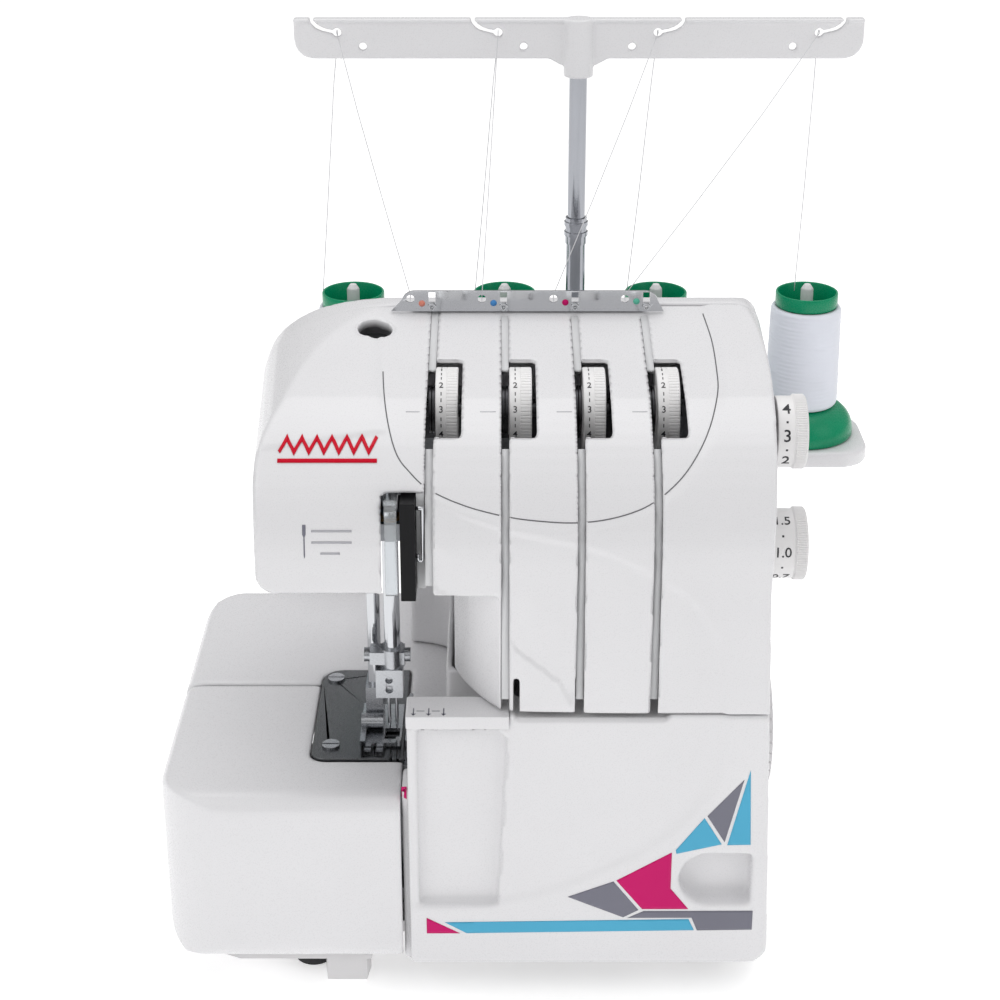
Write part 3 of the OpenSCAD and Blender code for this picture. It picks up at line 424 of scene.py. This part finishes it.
# Edge of the oval field round the tension dials, from its upper left end to its upper right one
OVAL_LINE = spline([surf(*p) for p in [
    (-51.9, 105.7, 280.7), (-50.6, 71.5, 274.8), (-47.9, 42, 268.1), (-43.4, 23.9, 257.6), (-37, 16.7, 250.9),
    (-28.7, 12.2, 244.8), (-14.4, 9, 239.1), (2.9, 7.2, 234.9), (18.5, 6.5, 233), (32.8, 6.3, 232.6),
    (47.2, 7, 234.5), (61.5, 9.1, 239.4), (74, 14.6, 248.2), (82.7, 23.9, 257.6), (88.6, 36.8, 265.7),
    (92.7, 55.2, 271.9), (93.8, 71.5, 274.8), (94, 96.9, 279.2), (92.1, 121.8, 283.6)]])
OVAL = OVAL_LINE + [(92, 500), (-52, 500)]
# The drawn part of that edge starts at its second point
OVAL_START = 8
# Upper edge of the sweeping panel below the oval
SWOOSH = spline([surf(*p) for p in [
    (-46.2, 32, 263.2), (-39.1, 17.3, 251.5), (-28.7, 10.5, 242), (-14.4, 7.2, 234.9), (0, 5.5, 229.8),
    (16.4, 4.5, 225.8), (32.9, 3.8, 222.4), (47.3, 3.3, 218.1), (61.9, 2.8, 210.5), (71.2, 2.5, 204.7),
    (78.8, 2.2, 199.2), (85.3, 1.8, 191), (89.9, 1.3, 180.9), (93.3, 0.6, 167), (95.6, 0.2, 145)]])
SWOOSH += [(95.6, -50), (-150, -50), (-150, 240)]
# Edge of the sweep that goes on over the looper cover, as (X, Z)
SWEEP = spline([
    (96.2, 150), (96, 142), (95.2, 124), (91.6, 109.8), (82.7, 96.3), (72.6, 85.1), (62.3, 76.9),
    (49.7, 69.4), (30.7, 60), (12.6, 53.4), (-10, 49.4), (-39.8, 47.8)])
SWEEP += [(-60, 47), (-60, 150)]
# Depth of each relief and the width of its sloping edge
OVAL_DEPTH, OVAL_SLOPE = 0.9, 4
PANEL_DEPTH, PANEL_SLOPE = 0.8, 3
SWEEP_DEPTH, SWEEP_SLOPE = 1.0, 5.5
SKIN, COVER_SKIN = 1.3, 1.2


def front_relief(mm, nor):
    """Field round the dials and the panel under it lie a little deeper, behind sloping edges."""
    x, y, z = mm.T
    run = run_of(y, z)
    skin = (profile_gap(y, z) < SKIN) & ((nor[:, 1] < -0.25) | (nor[:, 2] > 0.25))
    oval = np.clip(inside_by(x, run, OVAL) / OVAL_SLOPE + 1, 0, 1)
    below = step(inside_by(x, run, SWOOSH), PANEL_SLOPE)
    depth = np.where(skin, OVAL_DEPTH * oval + PANEL_DEPTH * below * (1 - oval), 0)
    return -nor * depth[:, None]


def cover_relief(mm, nor):
    """The sweep goes on over the looper cover's face."""
    x, y, z = mm.T
    skin = (y < COVER_SKIN) & (nor[:, 1] < -0.3)
    depth = SWEEP_DEPTH * step(inside_by(x, z, SWEEP), SWEEP_SLOPE)
    return -nor * np.where(skin, depth, 0)[:, None]


front = shell("front_cover", "machine", voxel=0.00105, rounds=7, soften=1, relief=front_relief)
head = shell("face_cover", "machine", relief=front_relief)
door = shell("looper_cover", "looper_door", relief=cover_relief)
shell("bed_cover", "machine", soften=4)
shell("cloth_plate", "cloth_table", soften=5)
shell("rear_cover", "machine", voxel=0.0016)
shell("side_cover", "machine")
shell("spool_stand", "machine", voxel=0.0014)

# ---------------------------------------------------------------- carried-over CAD nodes
# Each material's nodes with their bevel in metres
for mat, nodes in [
    (WHITE, {"seam_guide": 0.0006}),
    (WHITE_SATIN, {"base_tray": 0.0008, "spool_pins": 0.0003, "handwheel": 0.0004}),
    (GREY_LINING, {"thread_channels": 0}),
    (BLACK, {"take_up_cover": 0.0003, "power_inlet": 0.0005, "presser_lifter": 0.0006,
             "drive_pulley": 0.0003, "power_switch": 0.0004}),
    (RUBBER, {"rubber_feet": 0.0006, "drive_belt": 0}),
    (CLEAR, {"needle_guard": 0.0003, "lamp_lens": 0.0004}),
    (CAST, {"main_frame": 0.0006}),
    (BRONZE, {"bushes": 0.0002}),
    (MOTOR, {"motor": 0.0006}),
    (SCREW, {"pressure_screw": 0.0004}),
    (PLATE, {"needle_plate": 0.0005}),
    (POLE, {"antenna_lower_tube": 0.0003, "antenna_upper_tube": 0.0002}),
    (DARK_STEEL, {"tension_bracket": 0.0003, "tension_discs": 0.0002}),
    (CHROME, {"guide_plate": 0.0002, "wire_hook": 0, "needle_bar": 0.0003, "needles": 0,
              "presser_bar": 0.0003, "upper_looper": 0.0002, "lower_looper": 0.0002}),
    (STEEL, {"machine_screws": 0.0002, "lower_knife": 0.0001, "hinge_pin": 0, "cover_hinge_rod": 0.0002,
             "needle_clamp": 0.0003, "presser_foot": 0.0002, "upper_knife": 0.0001, "feed_dogs": 0.0001,
             "main_shaft": 0.0003, "motor_pulley": 0.0003}),
]:
    for node, bevel in nodes.items():
        dress(node, mat, bevel)


# ---------------------------------------------------------------- prints that lie on a surface
def bvh_of(*objs):
    """Ray-cast tree of the objects' final meshes."""
    dg = bpy.context.evaluated_depsgraph_get()
    verts, faces = [], []
    for o in objs:
        me = o.evaluated_get(dg).to_mesh()
        base = len(verts)
        verts += [o.matrix_world @ v.co for v in me.vertices]
        faces += [[base + i for i in p.vertices] for p in me.polygons]
        o.evaluated_get(dg).to_mesh_clear()
    return BVHTree.FromPolygons(verts, faces)


def decal(name, polys, mat, body, tree, aim=(0, 1, 0), back=0.03, lift=0.00014, grid=1.5, slot="white_shell"):
    """Thin print: polygons in machine mm (3-D points), cut into a grid and laid on a surface along aim."""
    aim = Vector(aim)
    bm = bmesh.new()
    for poly in polys:
        bm.faces.new([bm.verts.new(P(*p)) for p in poly])
    cut_grid(bm, [k for k in range(3) if abs(aim[k]) < 0.7], grid / 1000)
    for v in bm.verts:
        where, normal = tree.ray_cast(v.co - aim * back, aim)[:2]
        if where is not None:
            v.co = where + normal.normalized() * lift * (1 if normal.dot(aim) < 0 else -1)
    bmesh.ops.recalc_face_normals(bm, faces=bm.faces)
    if sum(f.normal.dot(aim) for f in bm.faces) > 0:
        bmesh.ops.reverse_faces(bm, faces=bm.faces)
    return film(place_piece(mesh_of(bm, name), name, mat, body))


door_tree = bvh_of(door)
head_tree = bvh_of(head)
both_tree = bvh_of(front, head)
# Just in front of the head's face
HEAD_FACE = -12


def flat(points, y=0.0):
    return [(x, y, z) for x, z in points]


for name, colour, outline in [
    ("corner_magenta", "magenta", [(-32.6, 41.8), (-17.8, 33.5), (-32.6, 33.5)]),
    ("stripe_cyan", "cyan", [(-24.5, 39.4), (83.7, 41.1), (86.3, 35.2), (-14.9, 33.6)]),
    ("band_grey", "grey", [(56.6, 41.8), (63.6, 45.4), (112, 45.6), (112, 35.5), (87.6, 35.1), (85, 41.9)]),
    ("quad_grey", "grey", [(29.9, 53), (49.9, 61.1), (61.3, 46), (54.6, 42.1)]),
    ("quad_magenta", "magenta", [(51.2, 61.6), (75.2, 76.3), (75.2, 57.4), (83.4, 46.5), (62.9, 46.5)]),
    ("quad_cyan", "cyan", [(76.8, 77.4), (88.8, 94), (96.8, 80.5), (77.2, 75.6)]),
    ("tri_grey", "grey", [(90, 95), (105.2, 113.5), (98, 81.6)]),
    ("tri_cyan", "cyan", [(107.7, 118.3), (109.4, 80.3), (99.2, 80.1)]),
]:
    decal(name, [flat(outline)], PRINT[colour], "looper_door", door_tree)
flange = flat([(-42.6, 101.8), (-40.4, 101.8), (-40.4, 108.6), (-42.6, 108.6)], 2)
decal("flange_mark", [flange], PRINT["magenta"], "looper_door", door_tree, lift=0.0002)


# ---------------------------------------------------------------- generic marks on the head
def ribbon(points, width):
    """Polyline as mitred quads of even width in the X-Z plane, just in front of the head."""
    points = [Vector(p) for p in points]
    sides = []
    for k, p in enumerate(points):
        before = (p - points[max(k - 1, 0)]).normalized()
        after = (points[min(k + 1, len(points) - 1)] - p).normalized()
        along = (before + after).normalized()
        turn = max(along.dot(after if after.length else before), 0.3)
        out = Vector((-along.y, along.x)) * width / 2 / turn
        sides.append((p + out, p - out))
    return [flat([a[0], b[0], b[1], a[1]], HEAD_FACE) for a, b in zip(sides[:-1], sides[1:])]


def head_print(name, polys, colour, **how):
    decal(name, polys, PRINT[colour], "machine", head_tree, back=0.0, **how)


# A zig-zag stitch over a seam line, in place of a name
ZIG_X, ZIG_PITCH, ZIG_LOW, ZIG_HIGH = -91.5, 3.1, 256.6, 261
zig = [(ZIG_X + ZIG_PITCH * k, ZIG_HIGH if k % 2 else ZIG_LOW) for k in range(14)]
head_print("stitch_mark", ribbon(zig, 1.3), "red", grid=1.2, lift=0.0003)
head_print("stitch_mark_line", ribbon([(-92, 254), (-50.8, 254)], 1.3), "red", grid=1.2, lift=0.0003)
# A needle, and three plain bars beside it
NEEDLE_X = -80.6
needle = [(-0.7, 231.5), (0.7, 231.5), (0.7, 227.6), (0.25, 226.4), (0.25, 218.6), (0, 217.4), (-0.25, 218.6),
          (-0.25, 226.4), (-0.7, 227.6)]
head_print("needle_mark", [flat([(NEEDLE_X + x, z) for x, z in needle], HEAD_FACE)], "grey", lift=0.00015)
BAR_TOP, BAR_PITCH, BAR_HALF = 229, 4.7, 0.45
bars = []
for k, (x0, x1) in enumerate([(-77.6, -61), (-77.6, -61), (-74, -66)]):
    z = BAR_TOP - BAR_PITCH * k
    corners = [(x0, z + BAR_HALF), (x1, z + BAR_HALF), (x1, z - BAR_HALF), (x0, z - BAR_HALF)]
    bars.append(flat(corners, HEAD_FACE))
head_print("needle_mark_bars", bars, "pale", lift=0.00015)


# ---------------------------------------------------------------- fine lines on the casing
def on_profile(x, run):
    """Point on the casing's profile at a running length, and the way out of it."""
    y, z = (np.interp(run, RUN, FRONT[:, k]) for k in (0, 1))
    y1, z1 = (np.interp(run + 1, RUN, FRONT[:, k]) for k in (0, 1))
    return P(x, y, z), Vector((0, -(z1 - z), y1 - y)).normalized()


def surface_line(name, line, width, mat, tree, lift=0.0001, above=0.004, reach=0.0062):
    """Fine strip laid on the casing along a line of (x, running length) points, broken at openings."""
    bm = bmesh.new()
    last = None
    for k, (x, run) in enumerate(line):
        a, b = line[max(k - 1, 0)], line[min(k + 1, len(line) - 1)]
        d = Vector((b[0] - a[0], b[1] - a[1])).normalized()
        pair = []
        for side in (-0.5, 0.5):
            p, out = on_profile(x - d.y * width * side, run + d.x * width * side)
            where = tree.ray_cast(p + out * above, -out, reach)[0]
            if where is not None:
                pair.append(bm.verts.new(where + out * lift))
        if len(pair) < 2:
            last = None
            continue
        if last:
            bm.faces.new((last[0], pair[0], pair[1], last[1]))
        last = pair
    bmesh.ops.delete(bm, geom=[v for v in bm.verts if not v.link_faces], context="VERTS")
    bm.normal_update()
    if sum(f.normal.y - f.normal.z for f in bm.faces) > 0:
        bmesh.ops.reverse_faces(bm, faces=bm.faces)
    film(place_piece(mesh_of(bm, name), name, mat, "machine"))


def dense(line, gap=0.8):
    """The same line with points no further apart than gap."""
    out = []
    for a, b in zip(line[:-1], line[1:]):
        n = max(1, int(math.dist(a, b) / gap))
        out += [tuple(np.array(a) + (np.array(b) - np.array(a)) * k / n) for k in range(n)]
    return out + [tuple(line[-1])]


# Painted shade: a dark strip along the edge of the oval field stands in for the shade in its groove; and the
# short index line printed beside each thumbwheel
surface_line("oval_groove_shade", dense(OVAL_LINE[OVAL_START:]), 0.5, PRINT["line"], both_tree)
INDEX_RUN = surf(0, 41.9, 268)[1]
for i, ends in enumerate([(-39.6, -33.8), (-8.4, -1.8), (23.8, 30.2), (55.6, 62)]):
    index_line = dense([(x, INDEX_RUN) for x in ends])
    surface_line(f"index_line_{i + 1}", index_line, 0.35, PRINT["pale"], both_tree)

# ---------------------------------------------------------------- lettering on dials: digits only
BOLDER = 0.007
DIGIT_LIFT = 0.06


def digits(text, size):
    """Flat mesh of digits, centred, as (vertices, faces) in mm."""
    c = bpy.data.curves.new("digits", "FONT")
    c.body, c.size, c.align_x, c.align_y = text, size, "CENTER", "CENTER"
    c.resolution_u = 3
    c.offset = BOLDER * size
    o = add_object("digits", c)
    me = evaluated(o)
    bpy.data.objects.remove(o)
    bm = bmesh.new()
    bm.from_mesh(me)
    cut_grid(bm, (0, 1), 1.0)
    verts = [(v.co.x, v.co.y) for v in bm.verts]
    faces = [[v.index for v in f.verts] for f in bm.faces]
    bm.free()
    return verts, faces


def drum_print(name, marks, centre, radius, body):
    """Marks wrapped on a drum that turns about X: (text or (width, height), size, x, angle in degrees)."""
    bm = bmesh.new()
    r = radius + DIGIT_LIFT
    for mark, size, x, angle in marks:
        if isinstance(mark, str):
            verts, faces = digits(mark, size)
        else:
            w, h = mark[0] / 2, mark[1] / 2
            verts, faces = [(-w, -h), (w, -h), (w, h), (-w, h)], [[0, 1, 2, 3]]
        made = []
        for u, v in verts:
            a = math.radians(angle) + v / radius
            made.append(bm.verts.new(P(x + u, centre[0] - r * math.cos(a), centre[1] + r * math.sin(a))))
        for f in faces:
            bm.faces.new([made[i] for i in f])
    bm.normal_update()
    outward = 0
    for f in bm.faces:
        middle = f.calc_center_median()
        outward += f.normal.dot(middle - P(middle.x * 1000 + MID_X, *centre))
    if outward < 0:
        bmesh.ops.reverse_faces(bm, faces=bm.faces)
    o = place_piece(mesh_of(bm, name), name, INK, body, smooth=False)
    film(o, 0.00012, 0)


def turned_dial(profile, name, node, body, centre, steps, rib):
    """A dial in place of its CAD node, turned about X; rib(angle, k) cuts its ribs."""
    dial = lathe(profile, name, DIAL_WHITE, body, axis="x", centre=(0, *centre), steps=steps, shape=rib)
    auto_smooth(dial, 30)
    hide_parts(node)


def ribs(rows, steps, period, width, depth):
    """Ribs on some rows of a profile: every period-th step starts a groove, width steps wide."""
    def rib(a, k):
        at = round(a / (2 * math.pi) * steps) % period
        return -depth if k in rows and at < width else 0.0
    return rib


# ---------------------------------------------------------------- tension dials
GROOVE_X, GROOVE_PITCH = -31, 31.6
WHEEL_AT, WHEEL_R = (68.5, 257.3), 18.6
# Radius, and distance to the right of the groove
WHEEL = [
    (3.03, 3.1), (10.4, 3.1), (10.8, 3.4), (18.2, 3.4), (18.6, 3.8), (18.6, 8), (18.45, 8.15), (18.6, 8.4),
    (18.6, 10.6), (18.6, 12.6), (18.2, 13), (9.2, 13), (8.6, 12.4), (8.6, 8.2), (3.03, 8.2)]
WHEEL_STEPS = 370
WHEEL_RIBS = ribs({7, 8, 9}, WHEEL_STEPS, 5, 1, 0.3)
DIGIT_STEP, THREE_AT, DIGIT_X = 34, 22.5, 5.9
for i in range(4):
    g = GROOVE_X + GROOVE_PITCH * i
    profile = [(r, g + x) for r, x in WHEEL]
    node, body = f"tension_dial_{i + 1}", f"dial_{i + 1}"
    turned_dial(profile, f"thumbwheel_{i + 1}", node, body, WHEEL_AT, WHEEL_STEPS, WHEEL_RIBS)
    marks = []
    for k in range(10):
        a = THREE_AT - (k - 3) * DIGIT_STEP
        marks.append((str(k), 4.0, g + DIGIT_X, a))
        marks.append(((0.4, 4.4), 0, g + DIGIT_X, a - DIGIT_STEP / 2))
    drum_print(f"thumbwheel_digits_{i + 1}", marks[:-1], WHEEL_AT, WHEEL_R, body)

# ---------------------------------------------------------------- dials on the right wall
# The part of each dial that stands inside the wall, and the length of its rib band
INNER, BAND = 14.8, 6
KNOB_R, KNOB_STEPS = 15.3, 384
KNOB_RIBS = ribs({5, 6}, KNOB_STEPS, 4, 2, 0.35)
for name, node, body, centre, x1, labels in [
    ("length_knob", "stitch_length_dial", "length_dial", (55, 253), 130.5,
     [("4", 60), ("3", 14), ("2", -32)]),
    ("feed_knob", "differential_feed_dial", "feed_dial", (55, 199.8), 133.5,
     [("1.5", 64), ("1.0", 9), ("0.7", -46)]),
]:
    x0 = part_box(node)[0][0] * 1000 + MID_X + INNER
    band = x1 - BAND
    profile = [
        (4.2, x0), (15.1, x0), (KNOB_R, x0 + 0.3), (KNOB_R, band), (15.6, band + 0.4), (16.1, band + 0.8),
        (16.1, x1 - 0.9), (KNOB_R, x1 - 0.2), (13.6, x1), (12.6, x1 - 0.5), (12.2, x1 - 1.2), (4, x1 - 1.6),
        (0.5, x1 - 1.7), (0.5, x0 - 13.9), (6.9, x0 - 13.9), (6.9, x0 - 9.9), (4.2, x0 - 9.8)]
    turned_dial(profile, name, node, body, centre, KNOB_STEPS, KNOB_RIBS)
    marks = []
    x = (x0 + band) / 2 + 0.2
    for k, (text, a) in enumerate(labels):
        marks.append((text, 7.4 if len(text) == 1 else 6.3, x, a))
        if k < 2:
            marks.append(((0.9, 0.9), 0, x, (a + labels[k + 1][1]) / 2))
    drum_print(name + "_digits", marks, centre, KNOB_R, body)

# ---------------------------------------------------------------- thread cones
SPOOL_X, SPOOL_PITCH, SPOOL_Y = -74.7, 77, 230
# Hollow core with a thin rim and a domed foot, as (radius, Z)
CORE = [
    (3.3, 236), (3.3, 240), (11.9, 240), (12.6, 241), (13.3, 245), (14.4, 255.8), (14.7, 256.6),
    (15.2, 256.8), (15.6, 256.6), (15.8, 256.1), (15.8, 250.3), (15.5, 249.8), (14.9, 249.6), (15.4, 196.6),
    (18, 196), (20.4, 195), (22.6, 193.4), (24.6, 191.4), (26.2, 188.8), (27.2, 185.8), (27.6, 183),
    (27.5, 181.2), (27.1, 180.4), (26, 180.3), (25.2, 181.5), (23.6, 187), (19.6, 192), (14.4, 194.6),
    (13.6, 197), (12.1, 236)]
# Wound thread: rows from bottom to top with rounded ends
ROWS = 150
WOUND_Z, WOUND_LENGTH = 197.1, 52.1
WOUND_R, WOUND_TAPER = 18.6, 0.8
WOUND = []
for k in range(ROWS + 1):
    t = k / ROWS
    end = max(0, 1 - min(t, 1 - t) * 26)
    WOUND.append((WOUND_R - WOUND_TAPER * t - 0.9 * end ** 2, WOUND_Z + WOUND_LENGTH * t))
WOUND = [(15.65, 196.9)] + WOUND + [(15.2, 249.3)]
# Strands that cross the winding, as (height along it, sway, phase)
STRAY = [(0.9, 0.03, 0), (0.8, 0.05, 1.2), (0.68, 0.03, 2.3), (0.56, 0.05, 3.1), (0.5, 0.04, 0.5),
         (0.34, 0.04, 2), (0.2, 0.03, 4)]


def winding(turn):
    """Height of the thread over the mean surface; turn sets where the stray strands start."""
    def height(a, k):
        if k in (0, ROWS + 2):
            return 0.0
        t = (k - 1) / ROWS
        up = 0.04 * (math.sin(3 * a + t * 150) + math.sin(-3 * a + t * 150))
        for at, sway, phase in STRAY:
            up += 0.1 * math.exp(-((t - at - sway * math.sin(a + phase + turn)) / 0.007) ** 2)
        return up
    return height


for i in range(4):
    centre, body = (SPOOL_X + SPOOL_PITCH * i, SPOOL_Y, 0), f"cone_{i + 1}"
    cone = lathe(CORE, f"cone_core_{i + 1}", GREEN, body, centre=centre)
    auto_smooth(cone, 40)
    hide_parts(f"spool_{i + 1}")
    lathe(WOUND, f"winding_{i + 1}", THREAD, body, centre=centre, steps=144, shape=winding(i))

# ---------------------------------------------------------------- antenna bar and threads
bar = shell("antenna_bar", "antenna", voxel=0.0007, rounds=4, soften=1)

THREAD_D = 0.0004
EYES = [-76.4, -0.9, 74, 149.5]
TIPS = [-89.8, -12.6, 64.4, 149.4]
ENDS = [-40.6, -8.2, 24.2, 56.6]


def tube(path, r, name, n=8):
    """Round tube along a path, closed at both ends."""
    bm = bmesh.new()
    rings = []
    for k, p in enumerate(path):
        d = (path[min(k + 1, len(path) - 1)] - path[max(k - 1, 0)]).normalized()
        a = d.cross(Vector((0.9, 0.1, 0.3))).normalized()
        b = d.cross(a)
        turns = [2 * math.pi * j / n for j in range(n)]
        rings.append([bm.verts.new(p + r * (a * math.cos(t) + b * math.sin(t))) for t in turns])
    for u, v in zip(rings[:-1], rings[1:]):
        for j in range(n):
            bm.faces.new((u[j], u[(j + 1) % n], v[(j + 1) % n], v[j]))
    bm.faces.new(rings[0][::-1])
    bm.faces.new(rings[-1])
    bmesh.ops.recalc_face_normals(bm, faces=bm.faces)
    return mesh_of(bm, name)


for i, (e, t, g) in enumerate(zip(EYES, TIPS, ENDS)):
    route = [
        (t, 228, 257.6), (t + 0.4 * (e - t), 216, 312), (t + 0.8 * (e - t), 206, 370), (e, 203.6, 392),
        (e, 201.8, 395.2), (e, 199.8, 395.9), (e, 197.6, 395), (e + 0.03 * (g - e), 196, 391.6),
        (e + 0.3 * (g - e), 174, 362.4), (e + 0.65 * (g - e), 149, 326), (g, 124.4, 290.8), (g, 122.6, 290.2),
        (g, 120, 289)]
    path = []
    for a, b in zip(route[:-1], route[1:]):
        a, b = Vector(a), Vector(b)
        n = max(1, int((b - a).length / 6))
        path += [P(*a.lerp(b, k / n)) for k in range(n)]
    path.append(P(*route[-1]))
    strand = add_object(f"strand_{i + 1}", tube(path, THREAD_D / 2, f"strand_{i + 1}"))
    strand.data.materials.append(STRAND)
    smooth_faces(strand.data)
    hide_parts("threads")
    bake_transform(strand)

# ---------------------------------------------------------------- small details
# Coloured dots of the threading order on the guide plate
DOT_R, DOT_SIDES = 1.5, 20
plate_tree = bvh_of(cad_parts["guide_plate"])
for name, x, z, colour in [
    ("a", -35.4, 287.6, "salmon"), ("b", -2.9, 287.8, "blue"), ("c", 29.6, 288.1, "magenta"),
    ("d", 61.8, 288.6, "mint"),
]:
    turns = [2 * math.pi * k / DOT_SIDES for k in range(DOT_SIDES)]
    ring = [(x + DOT_R * math.cos(a), 115, z + DOT_R * math.sin(a)) for a in turns]
    decal("guide_dot_" + name, [ring], PRINT[colour], "machine", plate_tree, back=0.0, lift=0.0001, grid=5,
          slot="bright_chrome")

# Rolled edge of the round hole over the pressure screw, as (radius, height over the casing)
HOLE_X, HOLE_Y, HOLE_STEPS = -56, 108, 96
EDGE = [(9.1, -0.3), (9, 0.06), (8.5, 0.14), (8, 0.1), (7.7, -0.2), (7.65, -3.5), (8.6, -3.5), (8.9, -0.9)]
NEAR, FAR = 9.1, 10.6
bm = bmesh.new()
rings = []
for k in range(HOLE_STEPS):
    a = 2 * math.pi * k / HOLE_STEPS
    over = [P(HOLE_X + r * math.cos(a), HOLE_Y + r * math.sin(a), 320) for r in (NEAR, FAR)]
    near, far = [head_tree.ray_cast(p, Vector((0, 0, -1)))[0].z for p in over]
    slope = (near - far) * 1000 / (FAR - NEAR)
    ring = []
    for r, lift in EDGE:
        z = near * 1000 + slope * (NEAR - r) + lift
        ring.append(bm.verts.new(P(HOLE_X + r * math.cos(a), HOLE_Y + r * math.sin(a), z)))
    rings.append(ring)
join_rings(bm, rings)
from_bmesh(bm, "screw_hole_edge", WHITE, "machine")

# Seam width marks on the guide tab: three arrows joined by dashes
TAB_Z = 150
tab_tree = bvh_of(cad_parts["seam_guide"])
ticks = []
for x in (-36.9, -30.4, -24):
    ticks.append([(x - 0.25, 1.4), (x + 0.25, 1.4), (x + 0.25, 7), (x - 0.25, 7)])
    ticks.append([(x - 1.1, 2.6), (x, 1), (x + 1.1, 2.6)])
for x in (-35.6, -29.1):
    ticks.append([(x, 4.6), (x + 3.4, 4.6), (x + 3.4, 5), (x, 5)])
ticks = [[(x, y, TAB_Z) for x, y in tick] for tick in ticks]
decal("seam_marks", ticks, PRINT["grey"], "looper_door", tab_tree, aim=(0, 0, -1), back=0.01, lift=0.0001)

# Folded grey sheet that lines the threading slot behind the wire hook, as (X, Y) from its foot to its head
FOLD = [(-34.7, 14), (-31.3, 14), (-31.3, 24), (-32.1, 24), (-32.1, 14.8), (-34.7, 14.8)]
bm = bmesh.new()
low, high = [[bm.verts.new(P(x, y, z)) for x, y in FOLD] for z in (198.5, 242.6)]
for k in range(len(FOLD)):
    n = (k + 1) % len(FOLD)
    bm.faces.new((low[k], low[n], high[n], high[k]))
bm.faces.new(low)
bm.faces.new(high)
lining = from_bmesh(bm, "slot_lining", GREY_LINING, "machine")
auto_smooth(lining, 30)
soft = lining.modifiers.new("edges", "BEVEL")
soft.width, soft.segments = 0.0002, 2

# ---------------------------------------------------------------- stage
FLOOR_HALF = 3
bm = bmesh.new()
bmesh.ops.create_grid(bm, x_segments=2, y_segments=2, size=FLOOR_HALF)
floor = add_object("floor", mesh_of(bm, "floor"))
paper = material("floor_paper", (0.93, 0.93, 0.93), rough=0.85, grain=300, bump=0.02, tint=0.005,
                 emission_color=(1, 1, 1, 1), emission_strength=0.42)
floor.data.materials.append(paper)


def area(name, where, aim, size, power):
    """Soft rectangular light that points at aim."""
    d = bpy.data.lights.new(name, "AREA")
    d.shape, d.size, d.size_y, d.energy = "RECTANGLE", size[0], size[1], power
    o = add_object(name, d)
    o.location = where
    o.rotation_euler = (Vector(aim) - Vector(where)).to_track_quat("-Z", "Y").to_euler()


area("key", (-0.9, -1.0, 1.3), (0, 0, 0.15), (0.9, 0.9), 3.9)
area("fill", (1.1, -0.7, 0.8), (0, 0, 0.15), (0.8, 1.0), 1.7)
area("top", (0.0, 0.3, 1.6), (0, 0, 0.2), (1.4, 1.0), 5.8)

# White studio all round, brighter overhead
world = bpy.data.worlds.new("studio")
bpy.context.scene.world = world
world.use_nodes = True
sky = world.node_tree
sky.nodes["Background"].inputs["Color"].default_value = (1, 1, 1, 1)
where = sky.nodes.new("ShaderNodeTexCoord")
axes = sky.nodes.new("ShaderNodeSeparateXYZ")
sky.links.new(where.outputs["Generated"], axes.inputs["Vector"])
glow = map_range(sky, axes.outputs["Z"], (0.0, 0.9), (0.32, 0.85))
sky.links.new(glow, sky.nodes["Background"].inputs["Strength"])
bpy.context.scene.view_settings.view_transform = "Standard"
